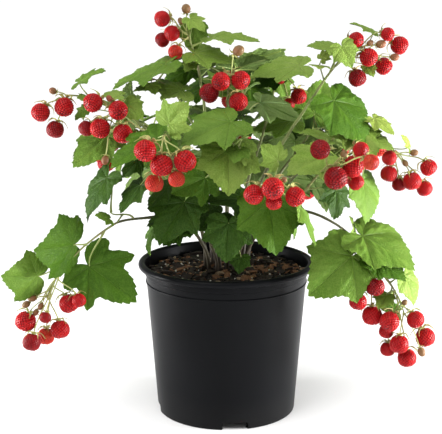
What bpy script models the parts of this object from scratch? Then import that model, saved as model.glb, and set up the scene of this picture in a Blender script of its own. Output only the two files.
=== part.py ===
"""A thimbleberry in fruit, in a black nursery pot: pot, soil, canes, boughs and foliage masses.

The scene is in metres. The tables give places and sizes in millimetres and angles in degrees.
X runs to the right, Y away from the front and Z up, from the middle of the pot's underside.
The front of the plant is set by hand in its front view: across and up on the upright plane
through the pot's middle, as it looks from the eye, and a depth of its own behind that plane.
"""

import math
from itertools import product
from typing import NamedTuple

import bmesh
import bpy
from mathutils import Matrix, Quaternion, Vector
from mathutils.bvhtree import BVHTree

MM = 0.001
GAP = 0.3 * MM  # between neighbouring solids
UP = Vector((0, 0, 1))
EYE = Vector((-5, -1100, 426)) * MM  # where the front view is seen from
SHARP_ANGLE = math.radians(35)

# The pot
POT_SIDES = 28
RIM_DIAMETER = 168 * MM
ROLL_RADIUS = 3.3 * MM
ROLL_LEVEL = 143.5 * MM
BASE_RADIUS = 66.2 * MM
WALL = 1.5 * MM
TAPER = 0.079  # the wall's run outwards for each unit of height
RING_LEVEL = 127.3 * MM
BAND_LEVEL = 134.5 * MM
PAD_RADIUS = 40 * MM
CHANNEL_OUTER = 61 * MM
CHANNEL_HEIGHT = 7 * MM
NOTCH_COUNT = 4
NOTCH_SIZE = Vector((12, 25, 7.6)) * MM
NOTCH_START = -83.0
DRAIN_RADIUS = 54 * MM
DRAIN_SIZE = Vector((7, 14, 8)) * MM

# The soil
SOIL_LEVEL = 136 * MM
CROWN_LEVEL = 139 * MM  # the flat middle that the canes stand on
CROWN_RADIUS = 27 * MM
CHIP_COUNT = 9
CHIP_SIZE = Vector((14, 8, 4)) * MM
CHIP_SIZES = (0.75, 1.15)
CHIP_SPAN = (0.48, 0.9)  # of the pot's inner radius
CHIP_LIFT = 0.6 * MM
CHIP_TURN = 2.4  # in radians, from one chip to the next
CHIP_TILT = 0.3

# Canes, twigs, leaves and fruit
CANE_SIDES = 5
CANE_STEPS = 6
BOUGH_STEPS = 4
TWIG_SIDES = 3
TWIG_STEPS = 5
CANE_TAPER = 0.68
BOUGH_TAPER = 0.75
TWIG_TAPER = 0.6
SIDE_STEM = 0.8  # a side stem's radius, as a share of its carrier's
LEAVE_PULL = 0.38
ARRIVE_PULL = 0.3
FORK_SPREAD = 0.9  # how far a side limb leaves its carrier's own heading
PETIOLE_RADIUS = 0.75 * MM
PETIOLE_STEPS = 1
PETIOLE_CLEARANCE = 0.35  # between a petiole that turns back under its blade and the blade
PEDICEL_RADIUS = 0.6 * MM
LEAF_THICKNESS = 0.024  # of the leaf's length
LEAF_HEART = 0.3  # where the veins meet, from foot to tip
BERRY_RADIUS = 8.9 * MM
BERRY_SIZES = (0.9, 1.1)  # least and largest, as shares of the radius
BERRY_TOP = 0.9  # above its middle, as a share of its radius
FRUIT_SIDES = 5
LAST_STALK = 0.97  # along the stem
STALK_SPACING = 0.045
STALK_RISE = 0.3
SPIRAL_START = 0.6
TRUSS_DEPTH = 0.45  # of its spread
GOLDEN_ANGLE = 137.5
GOLDEN_SHARE = 0.618
FREE_SPACE = 0.6 * MM  # kept round a new leaf or berry
FRUIT_SHIFTS = (0, -5, 5, -10, 10, -15, 15, -20, 20)  # towards the viewer, tried in turn
LEAF_TILTS = (0, 10, -10, 20, -20, 30, -30)  # tried in turn with each shift
LEAF_SHIFTS = (0, -6, -12, 8, -18, -24, 16)
LEAF_SLIDES = (0, 0.2, 0.4, 0.6)  # how far back along the stem the petiole starts
SLIDE_COST = 25  # in millimetres of shift or degrees of tilt

# Mixes of headings: a berry's hang, and how the leaves that the rule adds reach out and point
HANG_MIX = (0.7, 0.2, -0.5)  # away from the stem, towards the viewer, up
REACH_MIX = (1, 0.35, 0.35, 0.15)  # across the stem, along it, towards the viewer, up
POINT_MIX = (1, 0.2, 0.5, -0.45)
MORE_SPAN = (0.15, 0.9)  # the stretch of the stem that they grow on
MORE_SIZES = (0.85, 1.15)
MORE_REACH = 0.45  # of the leaf's length
MORE_TURN = 50  # from one mass to the next
MORE_STEP = 0.37
MORE_FACE = 62

# Each leaf's tries, the least change first
LEAF_TRIES = sorted(
    product(LEAF_TILTS, LEAF_SHIFTS, LEAF_SLIDES),
    key=lambda change: math.hypot(change[0], change[1], change[2] * SLIDE_COST),
)

# Half of a leaf's outline from foot to tip: across, along and above, as shares of its length
HALF_OUTLINE = (
    (0.38, -0.16, -0.07),
    (0.44, 0.12, -0.01),
    (0.6, 0.41, -0.08),
    (0.38, 0.58, -0.01),
)
LEAF_FOOT = (0.0, 0.0, 0.0)
LEAF_TIP = (0.0, 1.0, -0.14)

# A berry's section down from its stalk: depth and radius, as shares of its radius
BERRY_SECTION = ((0.2, 0.84), (1.15, 1.04), (1.8, 0.45))


def at(x, y, z):
    """A table's point."""
    return Vector((x, y, z)) * MM


def seen(across, up, depth):
    """The point at a depth that the front view shows at a place on its own plane."""
    place = at(across, 0, up)
    return EYE + (place - EYE) * ((depth * MM - EYE.y) / -EYE.y)


class Limb(NamedTuple):
    """A cane or bough: what carries it, where, its tip, its slope there and its width.

    A bough stands a share of the way along its carrier, and a cane some millimetres from the
    middle of the soil, on the side that it leans to.
    """

    name: str
    carrier: str
    place: float
    tip: Vector
    pitch: float
    width: float


class Leaf(NamedTuple):
    """A leaf set by hand: its foot and tip in the front view, its length and where it grows.

    Its petiole leaves its stem a share of the way along, its foot is some way ahead of that place,
    and its blade faces a light so many degrees above the viewer and turned from them.
    """

    foot: tuple
    tip: tuple
    size: float
    along: float
    ahead: float = 0
    face: float = 50
    turn: float = 0


class Cluster(NamedTuple):
    """Berries set by hand: their depth, and each one's place in the front view and its radius."""

    depth: float
    places: tuple


class Truss(NamedTuple):
    """Berries set by rule: how many, their middle, their spread and their first bearing."""

    count: int
    middle: tuple
    spread: float
    start: float


class Spray(NamedTuple):
    """A foliage mass: its stem, which way it faces, its leaves, its fruit and how many more."""

    name: str
    carrier: str
    tip: Vector
    pitch: float
    leaves: tuple = ()
    berries: tuple = None
    more: int = 0
    size: float = 50
    facing: float = -90
    along: float = 1.0


LIMBS = (
    Limb("cane_low_left", "soil", 20, seen(-66, 189, -46), -4, 3.5),
    Limb("bough_low_left", "cane_low_left", 1, seen(-107, 181, -55), -30, 2.6),
    Limb("cane_low_right", "soil", 20, seen(75, 194, -45), -6, 3.5),
    Limb("bough_low_right", "cane_low_right", 1, seen(118, 170, -52), -45, 2.6),
    Limb("cane_left", "soil", 20, seen(-92, 286, -20), 35, 3.5),
    Limb("cane_front_left", "soil", 13, seen(-50, 257, -82), 55, 3.2),
    Limb("cane_top_left", "soil", 9, seen(-25, 323, 12), 80, 3.6),
    Limb("bough_shoulder_left", "cane_top_left", 0.66, seen(-48, 306, 2), 50, 2.3),
    Limb("cane_centre", "soil", 8, seen(1, 278, -28), 82, 3.5),
    Limb("bough_centre_front", "cane_centre", 0.6, seen(3, 253, -58), 55, 2.3),
    Limb("cane_top_right", "soil", 12, seen(84, 308, 0), 58, 3.6),
    Limb("cane_back_centre", "soil", 12, seen(41, 295, 58), 70, 3.5),
    Limb("cane_right", "soil", 20, seen(93, 255, -16), 45, 3.5),
    Limb("bough_far_right", "cane_right", 0.8, seen(134, 255, -16), 5, 2.3),
    Limb("cane_front_right", "soil", 14, seen(73, 212, -72), 45, 3.4),
    Limb("cane_front", "soil", 20, seen(37, 203, -84), 50, 3.4),
    Limb("cane_low_front_left", "soil", 20, seen(-27, 178, -54), 35, 3.2),
    Limb("cane_low_front", "soil", 15, seen(2, 175, -48), 50, 3.1),
    Limb("cane_back_left", "soil", 18, at(-68, 66, 262), 50, 3.6),
    Limb("bough_back_left", "cane_back_left", 0.62, at(-52, 98, 222), 15, 2.4),
    Limb("cane_back", "soil", 16, at(4, 84, 290), 65, 3.6),
    Limb("bough_back", "cane_back", 0.6, at(18, 112, 238), 20, 2.4),
    Limb("bough_middle", "cane_back", 0.5, at(12, 30, 270), 75, 2.4),
    Limb("cane_back_right", "soil", 20, at(82, 66, 258), 48, 3.6),
    Limb("bough_back_right", "cane_back_right", 0.62, at(72, 100, 212), 10, 2.4),
    Limb("bough_side_left", "cane_back_left", 0.8, at(-90, 46, 250), 10, 2.4),
    Limb("bough_side_right", "cane_back_right", 0.8, at(102, 46, 244), 8, 2.4),
)

SPRAYS = (
    Spray(
        "spray_low_left_upper", "bough_low_left", seen(-110, 193, -58), 60, along=0.5,
        leaves=(
            Leaf((-113, 226), (-138, 191), 42, 0.95, -4, 25, -60),
        ),
    ),
    Spray(
        "spray_low_left_lower", "bough_low_left", seen(-173, 108, -65), -70,
        leaves=(
            Leaf((-146, 161), (-174, 155), 47, 0.3, 6, 0),
            Leaf((-181, 130), (-210, 129), 38, 0.75, 6, 0),
            Leaf((-131, 140), (-89, 110), 53, 0.5, 8, 35),
        ),
        berries=Cluster(-70, (
            (-161, 77, 9), (-194, 85, 9.7), (-175, 70, 8.2), (-152, 103, 9), (-189, 64, 8.5),
            (-142, 106, 6.5), (-175, 89, 5.5),
        )),
    ),
    Spray(
        "spray_low_right_upper", "bough_low_right", seen(141, 132, -64), -65, along=0.75,
        leaves=(
            Leaf((120, 150), (83, 115), 52, 0.25, 10, 25),
            Leaf((141, 149), (171, 132), 35, 0.55, -6, 74),
            Leaf((123, 168), (121, 188), 21, 0.3, 6, 10, 80),
        ),
        berries=Cluster(-74, ((143, 120, 8.9), (127, 105, 8.2), (141, 91, 9.5))),
    ),
    Spray(
        "spray_low_right_lower", "bough_low_right", seen(172, 92, -62), -75,
        leaves=(
            Leaf((130, 170), (179, 146), 55, 0.1, -8, 72),
            Leaf((171, 131), (183, 106), 28, 0.6, 0, 20, 50),
            Leaf((165, 95), (148, 102), 18, 0.8, 5),
        ),
        berries=Cluster(-70, (
            (168, 62, 9), (158, 85, 9.3), (183, 87, 8.2), (155, 75, 6.9), (193, 69, 9.3),
            (176, 48, 9), (157, 57, 7.2),
        )),
    ),
    Spray(
        "spray_far_left", "cane_left", seen(-150, 304, -25), 0,
        leaves=(
            Leaf((-136, 317), (-113, 330), 27, 0.6, 0, 72),
        ),
        berries=Cluster(-36, ((-151, 293, 9), (-173, 288, 8.7), (-160, 272, 8.3))),
    ),
    Spray(
        "spray_left", "cane_left", seen(-108, 289, -42), -10, along=0.85,
        leaves=(
            Leaf((-112, 266), (-143, 240), 42, 0.6, -10, 55, -20),
            Leaf((-99, 304), (-117, 306), 17, 0.7, 0, 70),
            Leaf((-93, 295), (-78, 284), 20, 0.4, 8, 30),
            Leaf((-132, 290), (-143, 281), 13, 0.95, -6),
        ),
        berries=Cluster(-50, (
            (-118, 273, 9.3), (-101, 290, 8.9), (-124, 297, 8.8), (-97, 268, 9), (-131, 273, 7.3),
        )),
    ),
    Spray(
        "spray_front_left", "cane_front_left", seen(-60, 262, -108), -60,
        leaves=(
            Leaf((-54, 277), (-37, 297), 28, 0.3, 4, 20),
            Leaf((-64, 264), (-109, 246), 48, 0.6, -20, 70),
            Leaf((-81, 219), (-101, 196), 30, 0.2, -10, 30, -62),
            Leaf((-83, 243), (-97, 229), 20, 0.1, -14, 45),
        ),
        berries=Cluster(-112, (
            (-61, 238, 9.9), (-76, 252, 9.7), (-39, 242, 9.8), (-68, 221, 8.2), (-47, 225, 7.3),
        )),
    ),
    Spray(
        "spray_top_left", "cane_top_left", seen(-37, 364, 4), 70,
        leaves=(
            Leaf((-30, 367), (-33, 345), 23, 0.8, -5, 20),
            Leaf((-33, 374), (-20, 364), 18, 0.9, -8, 60),
            Leaf((-11, 357), (30, 358), 42, 0.6, 0, 84),
            Leaf((-29, 343), (8, 338), 38, 0.4, 6, 70),
            Leaf((-36, 341), (-68, 335), 33, 0.15, -8, 86),
            Leaf((-34, 328), (-60, 318), 29, 0.3, -16, 60),
        ),
        berries=Cluster(2, (
            (-37, 383, 4.7), (-50, 361, 7.5), (-59, 374, 7.6), (-47, 344, 7), (-59, 355, 7),
        )),
    ),
    Spray(
        "spray_shoulder_left", "bough_shoulder_left", seen(-74, 320, -4), 5,
        leaves=(
            Leaf((-56, 333), (-106, 316), 53, 0.6, -4, 82),
            Leaf((-42, 309), (-84, 317), 43, 0.3, 12, 75),
        ),
    ),
    Spray(
        "spray_top_centre", "cane_centre", seen(2, 318, -40), 60,
        leaves=(
            Leaf((14, 286), (-24, 290), 38, 0.1, -10, 80),
        ),
        berries=Cluster(-42, (
            (11, 345, 5.3), (13, 318, 8.7), (-5, 317, 8.5), (11, 298, 8.7), (-16, 306, 9),
        )),
    ),
    Spray(
        "spray_centre", "bough_centre_front", seen(5, 260, -78), 20,
        leaves=(
            Leaf((4, 279), (-41, 265), 48, 0.6, 4, 68),
            Leaf((2, 253), (2, 217), 43, 0.6, 6, 40),
            Leaf((-20, 226), (-48, 214), 34, 0.3, 10, 20),
        ),
    ),
    Spray(
        "spray_top_right", "cane_top_right", seen(112, 345, -6), 50,
        leaves=(
            Leaf((134, 363), (114, 372), 22, 0.95, -8, 80),
            Leaf((101, 347), (74, 351), 29, 0.6, 2, 70),
            Leaf((106, 349), (116, 331), 21, 0.7, 8, 35),
            Leaf((130, 331), (136, 323), 12, 0.9, 8),
        ),
        berries=Cluster(-10, (
            (131, 339, 8.6), (119, 355, 7.3), (145, 331, 8.4), (148, 360, 6.5), (159, 350, 8.6),
            (121, 320, 8.4),
        )),
    ),
    Spray(
        "spray_back_centre", "cane_back_centre", seen(51, 328, 66), 60,
        leaves=(
            Leaf((67, 331), (19, 328), 50, 0.6, 4, 74),
            Leaf((46, 324), (26, 314), 25, 0.4, 10, 45),
            Leaf((22, 309), (52, 287), 37, 0.2, 10, 76),
            Leaf((47, 320), (58, 301), 24, 0.3, -10, 55),
            Leaf((62, 281), (22, 276), 42, 0.05, 10, 68),
        ),
        berries=Cluster(40, ((67, 303, 7.9), (58, 296, 6), (50, 318, 4))),
    ),
    Spray(
        "spray_right", "cane_right", seen(115, 287, -24), 40, more=1, size=32,
        leaves=(
            Leaf((100, 299), (135, 263), 51, 0.8, 6, 70),
            Leaf((99, 291), (106, 273), 20, 0.6, 12, 40),
            Leaf((138, 282), (156, 270), 24, 0.9, 0, 84),
            Leaf((99, 262), (70, 274), 33, 0.1, -6, 80),
        ),
    ),
    Spray(
        "spray_far_right", "bough_far_right", seen(163, 249, -18), -30,
        leaves=(
            Leaf((171, 256), (165, 268), 14, 0.95, 0, 10, 75),
            Leaf((136, 263), (156, 255), 22, 0.3, 2, 65),
            Leaf((128, 225), (138, 188), 41, 0.05, 10, 30, 58),
        ),
        berries=Cluster(-20, (
            (153, 230, 8), (153, 245, 7), (175, 223, 8.8), (190, 236, 8), (187, 216, 7.7),
            (163, 220, 7),
        )),
    ),
    Spray(
        "spray_front_right", "cane_front_right", seen(101, 238, -92), 10,
        leaves=(
            Leaf((92, 246), (58, 234), 39, 0.55, 0, 58),
            Leaf((104, 214), (104, 189), 26, 0.3, -6, 45, 45),
        ),
        berries=Cluster(-102, (
            (103, 226, 10.3), (119, 237, 9.8), (136, 241, 7), (88, 253, 8.8), (126, 253, 7),
            (122, 222, 7.3),
        )),
    ),
    Spray(
        "spray_front", "cane_front", seen(47, 222, -106), 0,
        leaves=(
            Leaf((48, 243), (33, 257), 21, 0.75, 0, 15),
            Leaf((40, 205), (47, 158), 48, 0.5, -6, 25),
            Leaf((61, 192), (69, 168), 24, 0.4, -12, 15, 75),
            Leaf((70, 198), (87, 166), 37, 0.6, -8, 15, 75),
        ),
        berries=Cluster(-116, ((45, 203, 7.3), (44, 216, 9.6), (65, 208, 8.8), (26, 210, 8.8))),
    ),
    Spray(
        "spray_low_front_left", "cane_low_front_left", seen(-53, 193, -70), 10,
        leaves=(
            Leaf((-40, 203), (-64, 166), 44, 0.5, 6, 35, -20),
            Leaf((-68, 181), (-77, 154), 28, 0.8, 0, 15, -75),
            Leaf((-5, 192), (-24, 180), 28, 0.1, 0),
            Leaf((-55, 218), (-75, 202), 26, 0.6, -10, 40, -50),
        ),
    ),
    Spray(
        "spray_low_front", "cane_low_front", seen(2, 179, -74), 10,
        leaves=(
            Leaf((18, 205), (-17, 209), 38, 0.6, -4, 60),
            Leaf((2, 182), (0, 148), 35, 0.7, 4, 30),
            Leaf((14, 149), (12, 135), 15, 0.5, 4),
        ),
    ),
    Spray("spray_back_left_upper", "cane_back_left", at(-82, 86, 262), 20, facing=135, more=6, size=42,
          berries=Truss(3, (-92, 100, 246), 14, 40)),
    Spray("spray_back_left_lower", "bough_back_left", at(-60, 126, 228), 0, facing=115, more=6,
          berries=Truss(3, (-64, 140, 210), 13, 110)),
    Spray("spray_back_top", "cane_back", at(2, 98, 316), 50, facing=95, more=6,
          berries=Truss(4, (0, 114, 304), 15, 200)),
    Spray("spray_middle", "bough_middle", at(16, 24, 306), 60, facing=90, more=6, size=46,
          leaves=(Leaf((-20, 312), (-46, 302), 28, 0.6, -10, 62, 180),)),
    Spray("spray_back", "bough_back", at(18, 142, 246), 0, facing=80, more=7,
          berries=Truss(3, (20, 156, 226), 14, 310)),
    Spray("spray_back_right_upper", "cane_back_right", at(94, 84, 262), 20, facing=45, more=6, size=42,
          berries=Truss(3, (106, 96, 248), 14, 75)),
    Spray("spray_back_right_lower", "bough_back_right", at(80, 122, 220), -10, facing=60, more=6, size=46,
          berries=Truss(3, (88, 134, 202), 13, 150)),
    Spray("spray_side_left", "bough_side_left", at(-112, 48, 262), 0, facing=170, more=6, size=36,
          berries=Truss(4, (-122, 50, 244), 12, 250)),
    Spray("spray_side_right", "bough_side_right", at(122, 48, 248), -5, facing=10, more=6, size=34,
          berries=Truss(4, (132, 48, 234), 12, 20)),
)


def heading_of(bearing, pitch):
    """The unit vector at a bearing about Z, counted from +X, and a pitch above the horizontal."""
    bearing, pitch = math.radians(bearing), math.radians(pitch)
    level = math.cos(pitch)
    return Vector((math.cos(bearing) * level, math.sin(bearing) * level, math.sin(pitch)))


class Path:
    """A limb's centre line: a cubic curve with a radius at each end."""

    def __init__(self, start, leaving, tip, arriving, radii):
        span = (tip - start).length
        first = start + leaving * span * LEAVE_PULL
        last = tip - arriving * span * ARRIVE_PULL
        self.points = (start, first, last, tip)
        self.radii = radii

    def at(self, t):
        a, b, c, d = self.points
        s = 1 - t
        return a * s**3 + b * (3 * s * s * t) + c * (3 * s * t * t) + d * t**3

    def heading(self, t):
        a, b, c, d = self.points
        s = 1 - t
        return ((b - a) * (s * s) + (c - b) * (2 * s * t) + (d - c) * (t * t)).normalized()

    def radius(self, t):
        return self.radii[0] + (self.radii[1] - self.radii[0]) * t

    def on_tube(self, t, steps):
        """The place along the middle of a tube swept in straight steps."""
        step = min(int(t * steps), steps - 1)
        return self.at(step / steps).lerp(self.at((step + 1) / steps), t * steps - step)

    def rings(self, steps):
        """Places, turns and radii spaced along the path, turned only as it bends."""
        ahead = self.heading(0)
        turn = ahead.to_track_quat("Z", "Y")
        for step in range(steps + 1):
            t = step / steps
            heading = self.heading(t)
            turn = ahead.rotation_difference(heading) @ turn
            ahead = heading
            yield self.at(t), turn, self.radius(t)


def swept(rings, sides):
    """A closed body swept through rings, with square ends."""
    mesh = bmesh.new()
    place, turn, radius = rings[0]
    frame = Matrix.LocRotScale(place, turn, None)
    bmesh.ops.create_circle(mesh, cap_ends=True, segments=sides, radius=radius, matrix=frame)
    first = end = mesh.faces[:]
    for place, turn, next_radius in rings[1:]:
        grown = bmesh.ops.extrude_face_region(mesh, geom=end)["geom"]
        if end is not first:
            bmesh.ops.delete(mesh, geom=end, context="FACES_ONLY")
        end = [part for part in grown if isinstance(part, bmesh.types.BMFace)]
        moved = [part for part in grown if isinstance(part, bmesh.types.BMVert)]
        after = Matrix.LocRotScale(place, turn, None)
        growth = Matrix.Scale(next_radius / radius, 4)
        bmesh.ops.transform(mesh, matrix=after @ growth @ frame.inverted(), verts=moved)
        frame, radius = after, next_radius
    bmesh.ops.recalc_face_normals(mesh, faces=mesh.faces)
    return mesh


def tube(path, sides, steps):
    """A closed tapering tube along a path."""
    return swept(list(path.rings(steps)), sides)


def leaf_on_petiole(path, frame, size):
    """A petiole that runs into a five-lobed blade, thickest where its veins meet."""
    mesh = tube(path, TWIG_SIDES, PETIOLE_STEPS)
    caps = [face for face in mesh.faces if len(face.verts) == TWIG_SIDES]
    end = min(caps, key=lambda face: (face.calc_center_median() - frame.translation).length)
    under, *upper = sorted(end.verts, key=lambda vert: vert.co.dot(frame.col[2].xyz))
    left, right = sorted(upper, key=lambda vert: vert.co.dot(frame.col[0].xyz))
    bmesh.ops.delete(mesh, geom=[end], context="FACES_ONLY")
    half = [Vector(point) for point in HALF_OUTLINE]
    mirrored = [Vector((-point.x, point.y, point.z)) for point in reversed(half)]
    outline = [mesh.verts.new(frame @ (point * size)) for point in (*half, Vector(LEAF_TIP), *mirrored)]
    heights = ((1, [left, right, *outline]), (-1, [*outline[::-1], right, under, left]))
    for side, corners in heights:
        face = mesh.faces.new(corners)
        heart = bmesh.ops.poke(mesh, faces=[face])["verts"][0]
        heart.co = frame @ (Vector((0, LEAF_HEART, side * LEAF_THICKNESS / 2)) * size)
    bmesh.ops.recalc_face_normals(mesh, faces=mesh.faces)
    if mesh.calc_volume(signed=True) < 0:
        bmesh.ops.reverse_faces(mesh, faces=mesh.faces)
    return mesh


def berry_on_stalk(node, middle, down, radius):
    """The rings of a stalk from a truss's node that swells into a berry hung along a heading."""
    top = middle - down * (radius * BERRY_TOP)
    leaving = (down + UP * STALK_RISE).normalized()
    stalk = Path(node, leaving, top, down, (PEDICEL_RADIUS, PEDICEL_RADIUS))
    rings = list(stalk.rings(1))
    turn = rings[-1][1]
    for depth, share in BERRY_SECTION:
        rings.append((top + down * (depth * radius), turn, share * radius))
    return rings


def mixed(weights, headings):
    """The unit vector of a weighted sum of headings."""
    return sum((heading * weight for weight, heading in zip(weights, headings)), Vector()).normalized()


def spread_between(ends, step):
    """A share between two ends that never repeats from one step to the next."""
    return ends[0] + (ends[1] - ends[0]) * (step % 1)


class Space:
    """What is already taken: a search tree and a box for each placed piece."""

    def __init__(self):
        self.taken = []

    def add(self, mesh, owner):
        low, high = box_of(mesh)
        self.taken.append((BVHTree.FromBMesh(mesh), low, high, owner))

    def is_free(self, mesh, besides=()):
        """Whether a piece, grown by the free space, meets nothing but the owners named."""
        swollen = mesh.copy()
        swollen.normal_update()
        for vert in swollen.verts:
            vert.co += vert.normal * FREE_SPACE
        low, high = box_of(swollen)
        tree = BVHTree.FromBMesh(swollen)
        swollen.free()
        for other, other_low, other_high, owner in self.taken:
            apart = any(low[i] > other_high[i] or high[i] < other_low[i] for i in range(3))
            if not apart and owner not in besides and tree.overlap(other):
                return False
        return True


def box_of(mesh):
    """A mesh's lowest and highest corners."""
    columns = list(zip(*(vert.co for vert in mesh.verts)))
    return [min(column) for column in columns], [max(column) for column in columns]


def cane_foot(tip, distance):
    """Where a cane leaves the soil, on the side that its tip is on."""
    side = Vector((tip.x, tip.y, 0)).normalized()
    return side * (distance * MM) + UP * (CROWN_LEVEL + GAP)


def side_start(carrier, along, tip, radius):
    """The start of a side limb, clear of its carrier, and the heading that it leaves by."""
    root = carrier.at(along)
    axis = carrier.heading(along)
    towards = tip - root
    across = (towards - axis * towards.dot(axis)).normalized()
    leaving = (axis * (1 - FORK_SPREAD / 2) + across * FORK_SPREAD).normalized()
    sine = leaving.dot(across)
    cosine = leaving.dot(axis)
    away = (carrier.radius(along) + GAP + radius * cosine) / sine
    return root + leaving * away, leaving


def grow(carrier, place, tip, pitch, radius, taper):
    """The path of a limb from its carrier, or from the soil, to its tip."""
    if carrier is None:
        start, leaving = cane_foot(tip, place), UP
    elif place == 1:
        leaving = carrier.heading(1)
        start = carrier.at(1) + leaving * GAP
    else:
        start, leaving = side_start(carrier, place, tip, radius)
    run = tip - start
    bearing = math.degrees(math.atan2(run.y, run.x))
    return Path(start, leaving, tip, heading_of(bearing, pitch), (radius, radius * taper))


class Plant:
    """The canes, boughs and foliage masses, grown one kind after another into free space."""

    def __init__(self):
        self.space = Space()
        self.limbs = {}
        self.steps = {}
        self.stems = {}
        self.masses = {spray.name: [] for spray in SPRAYS}

    def grow_limbs(self):
        for limb in LIMBS:
            carrier = self.limbs.get(limb.carrier)
            taper = CANE_TAPER if carrier is None else BOUGH_TAPER
            path = grow(carrier, limb.place, limb.tip, limb.pitch, limb.width / 2 * MM, taper)
            self.limbs[limb.name] = path
            self.steps[limb.name] = CANE_STEPS if carrier is None else BOUGH_STEPS
            self.space.add(tube(path, CANE_SIDES, self.steps[limb.name]), limb.name)

    def grow_stems(self):
        for spray in SPRAYS:
            carrier = self.limbs[spray.carrier]
            radius = carrier.radius(spray.along) * (1 if spray.along == 1 else SIDE_STEM)
            path = grow(carrier, spray.along, spray.tip, spray.pitch, radius, TWIG_TAPER)
            self.stems[spray.name] = path
            self.keep(spray, tube(path, TWIG_SIDES, TWIG_STEPS), "wood", spray.name)

    def keep(self, spray, mesh, kind, owner):
        """Adds a piece to a mass and takes its space."""
        self.space.add(mesh, owner)
        self.masses[spray.name].append((mesh, kind))

    def grow_fruit(self):
        for spray in SPRAYS:
            _, toward = view_axes(spray.facing)
            for i, (middle, radius, ahead) in enumerate(berries_of(spray)):
                self.hang_berry(spray, i, middle, radius, ahead, toward)

    def hang_berry(self, spray, number, middle, radius, ahead, toward):
        """A berry on its pedicel from the stem's end, shifted until it is free, or skipped."""
        node = self.stems[spray.name].on_tube(LAST_STALK - STALK_SPACING * number, TWIG_STEPS)
        own_stalks = spray.name + " stalk"
        for shift in FRUIT_SHIFTS:
            moved = middle + ahead * (shift * MM)
            down = mixed(HANG_MIX, ((moved - node).normalized(), toward, UP))
            rings = berry_on_stalk(node, moved, down, radius)
            stalk, fruit = swept(rings[:2], FRUIT_SIDES), swept(rings[1:], FRUIT_SIDES)
            if self.space.is_free(fruit) and self.space.is_free(stalk, (spray.name, own_stalks)):
                self.space.add(fruit, spray.name + " fruit")
                self.space.add(stalk, own_stalks)
                self.masses[spray.name].append((swept(rings, FRUIT_SIDES), "fruit"))
                return

    def grow_leaves(self):
        for spray in SPRAYS:
            for leaf in spray.leaves:
                root = self.stems[spray.name].on_tube(leaf.along, TWIG_STEPS)
                depth = root.y / MM - leaf.ahead
                foot = seen(*leaf.foot, depth)
                ahead = (EYE - foot).normalized()
                flat = seen(*leaf.tip, depth) - foot
                lean = math.sqrt(max(0, (leaf.size * MM) ** 2 - flat.length_squared))
                point = (flat + ahead * lean).normalized()
                light = heading_of(spray.facing + leaf.turn, leaf.face)
                self.add_leaf(spray, leaf.along, foot, point, leaf.size * MM, light, ahead)

    def grow_more_leaves(self):
        for number, spray in enumerate(SPRAYS):
            stem = self.stems[spray.name]
            _, toward = view_axes(spray.facing)
            light = heading_of(spray.facing, MORE_FACE)
            for i in range(spray.more):
                along = spread_between(MORE_SPAN, (i + 0.5) / spray.more)
                axis = stem.heading(along)
                across = axis.orthogonal().normalized()
                across = Quaternion(axis, math.radians(GOLDEN_ANGLE * i + MORE_TURN * number)) @ across
                headings = (across, axis, toward, UP)
                step = i * GOLDEN_SHARE + number * MORE_STEP
                size = spray.size * MM * spread_between(MORE_SIZES, step)
                foot = stem.on_tube(along, TWIG_STEPS) + mixed(REACH_MIX, headings) * size * MORE_REACH
                self.add_leaf(spray, along, foot, mixed(POINT_MIX, headings), size, light, toward)

    def add_leaf(self, spray, along, foot, point, size, light, ahead):
        """One leaf on its petiole, tilted or shifted until it is free, or skipped."""
        right, _ = view_axes(spray.facing)
        stem = self.stems[spray.name]
        for tilt, shift, slide in LEAF_TRIES:
            if slide > along:
                continue
            pointing = Quaternion(right, math.radians(tilt)) @ point
            root = stem.on_tube(along - slide, TWIG_STEPS)
            moved = foot + ahead * (shift * MM)
            normal = (light - pointing * light.dot(pointing)).normalized()
            frame = Matrix((pointing.cross(normal), pointing, normal)).transposed().to_4x4()
            back = frame.inverted().to_3x3() @ (root - moved).normalized()
            if back.y > -abs(back.x) / 2 and abs(back.z) < PETIOLE_CLEARANCE:
                continue
            frame.translation = moved
            leaving = (moved - root).normalized()
            arriving = (pointing + leaving).normalized()
            path = Path(root, leaving, moved, arriving, (PETIOLE_RADIUS, PETIOLE_RADIUS))
            made = leaf_on_petiole(path, frame, size)
            if self.space.is_free(made, (spray.name,)):
                self.keep(spray, made, "leaf", spray.name + " leaf")
                return True
        return False


def berries_of(spray):
    """Each berry's middle, its radius and the heading that it is shifted along."""
    if isinstance(spray.berries, Cluster):
        for across, up, radius in spray.berries.places:
            middle = seen(across, up, spray.berries.depth)
            yield middle, radius * MM, (EYE - middle).normalized()
    elif spray.berries:
        yield from spiralled(spray.berries, *view_axes(spray.facing))


def spiralled(truss, right, toward):
    """Berries on a sunflower's spiral in the plane that a spray faces, some ahead of others."""
    spiral = []
    for i in range(truss.count):
        angle = math.radians(truss.start + GOLDEN_ANGLE * i)
        spiral.append(Vector((math.cos(angle), math.sin(angle))) * math.sqrt(i + SPIRAL_START))
    centre = sum(spiral, Vector((0, 0))) / truss.count
    mean = math.sqrt(sum((place - centre).length_squared for place in spiral) / truss.count)
    for i, place in enumerate(spiral):
        offset = (place - centre) * (truss.spread * MM / mean)
        depth = truss.spread * MM * TRUSS_DEPTH * math.cos(math.radians(GOLDEN_ANGLE * 2 * i))
        middle = at(*truss.middle) + right * offset.x + UP * offset.y + toward * depth
        step = i * GOLDEN_SHARE + truss.start / 90
        yield middle, BERRY_RADIUS * spread_between(BERRY_SIZES[::-1], step), toward


def view_axes(facing):
    """A spray's own right and the way it faces, from a bearing about Z."""
    toward = heading_of(facing, 0)
    return UP.cross(toward), toward


def wall_radius(level):
    """The outer radius of the pot's plain wall at a height."""
    return BASE_RADIUS + TAPER * level


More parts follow.
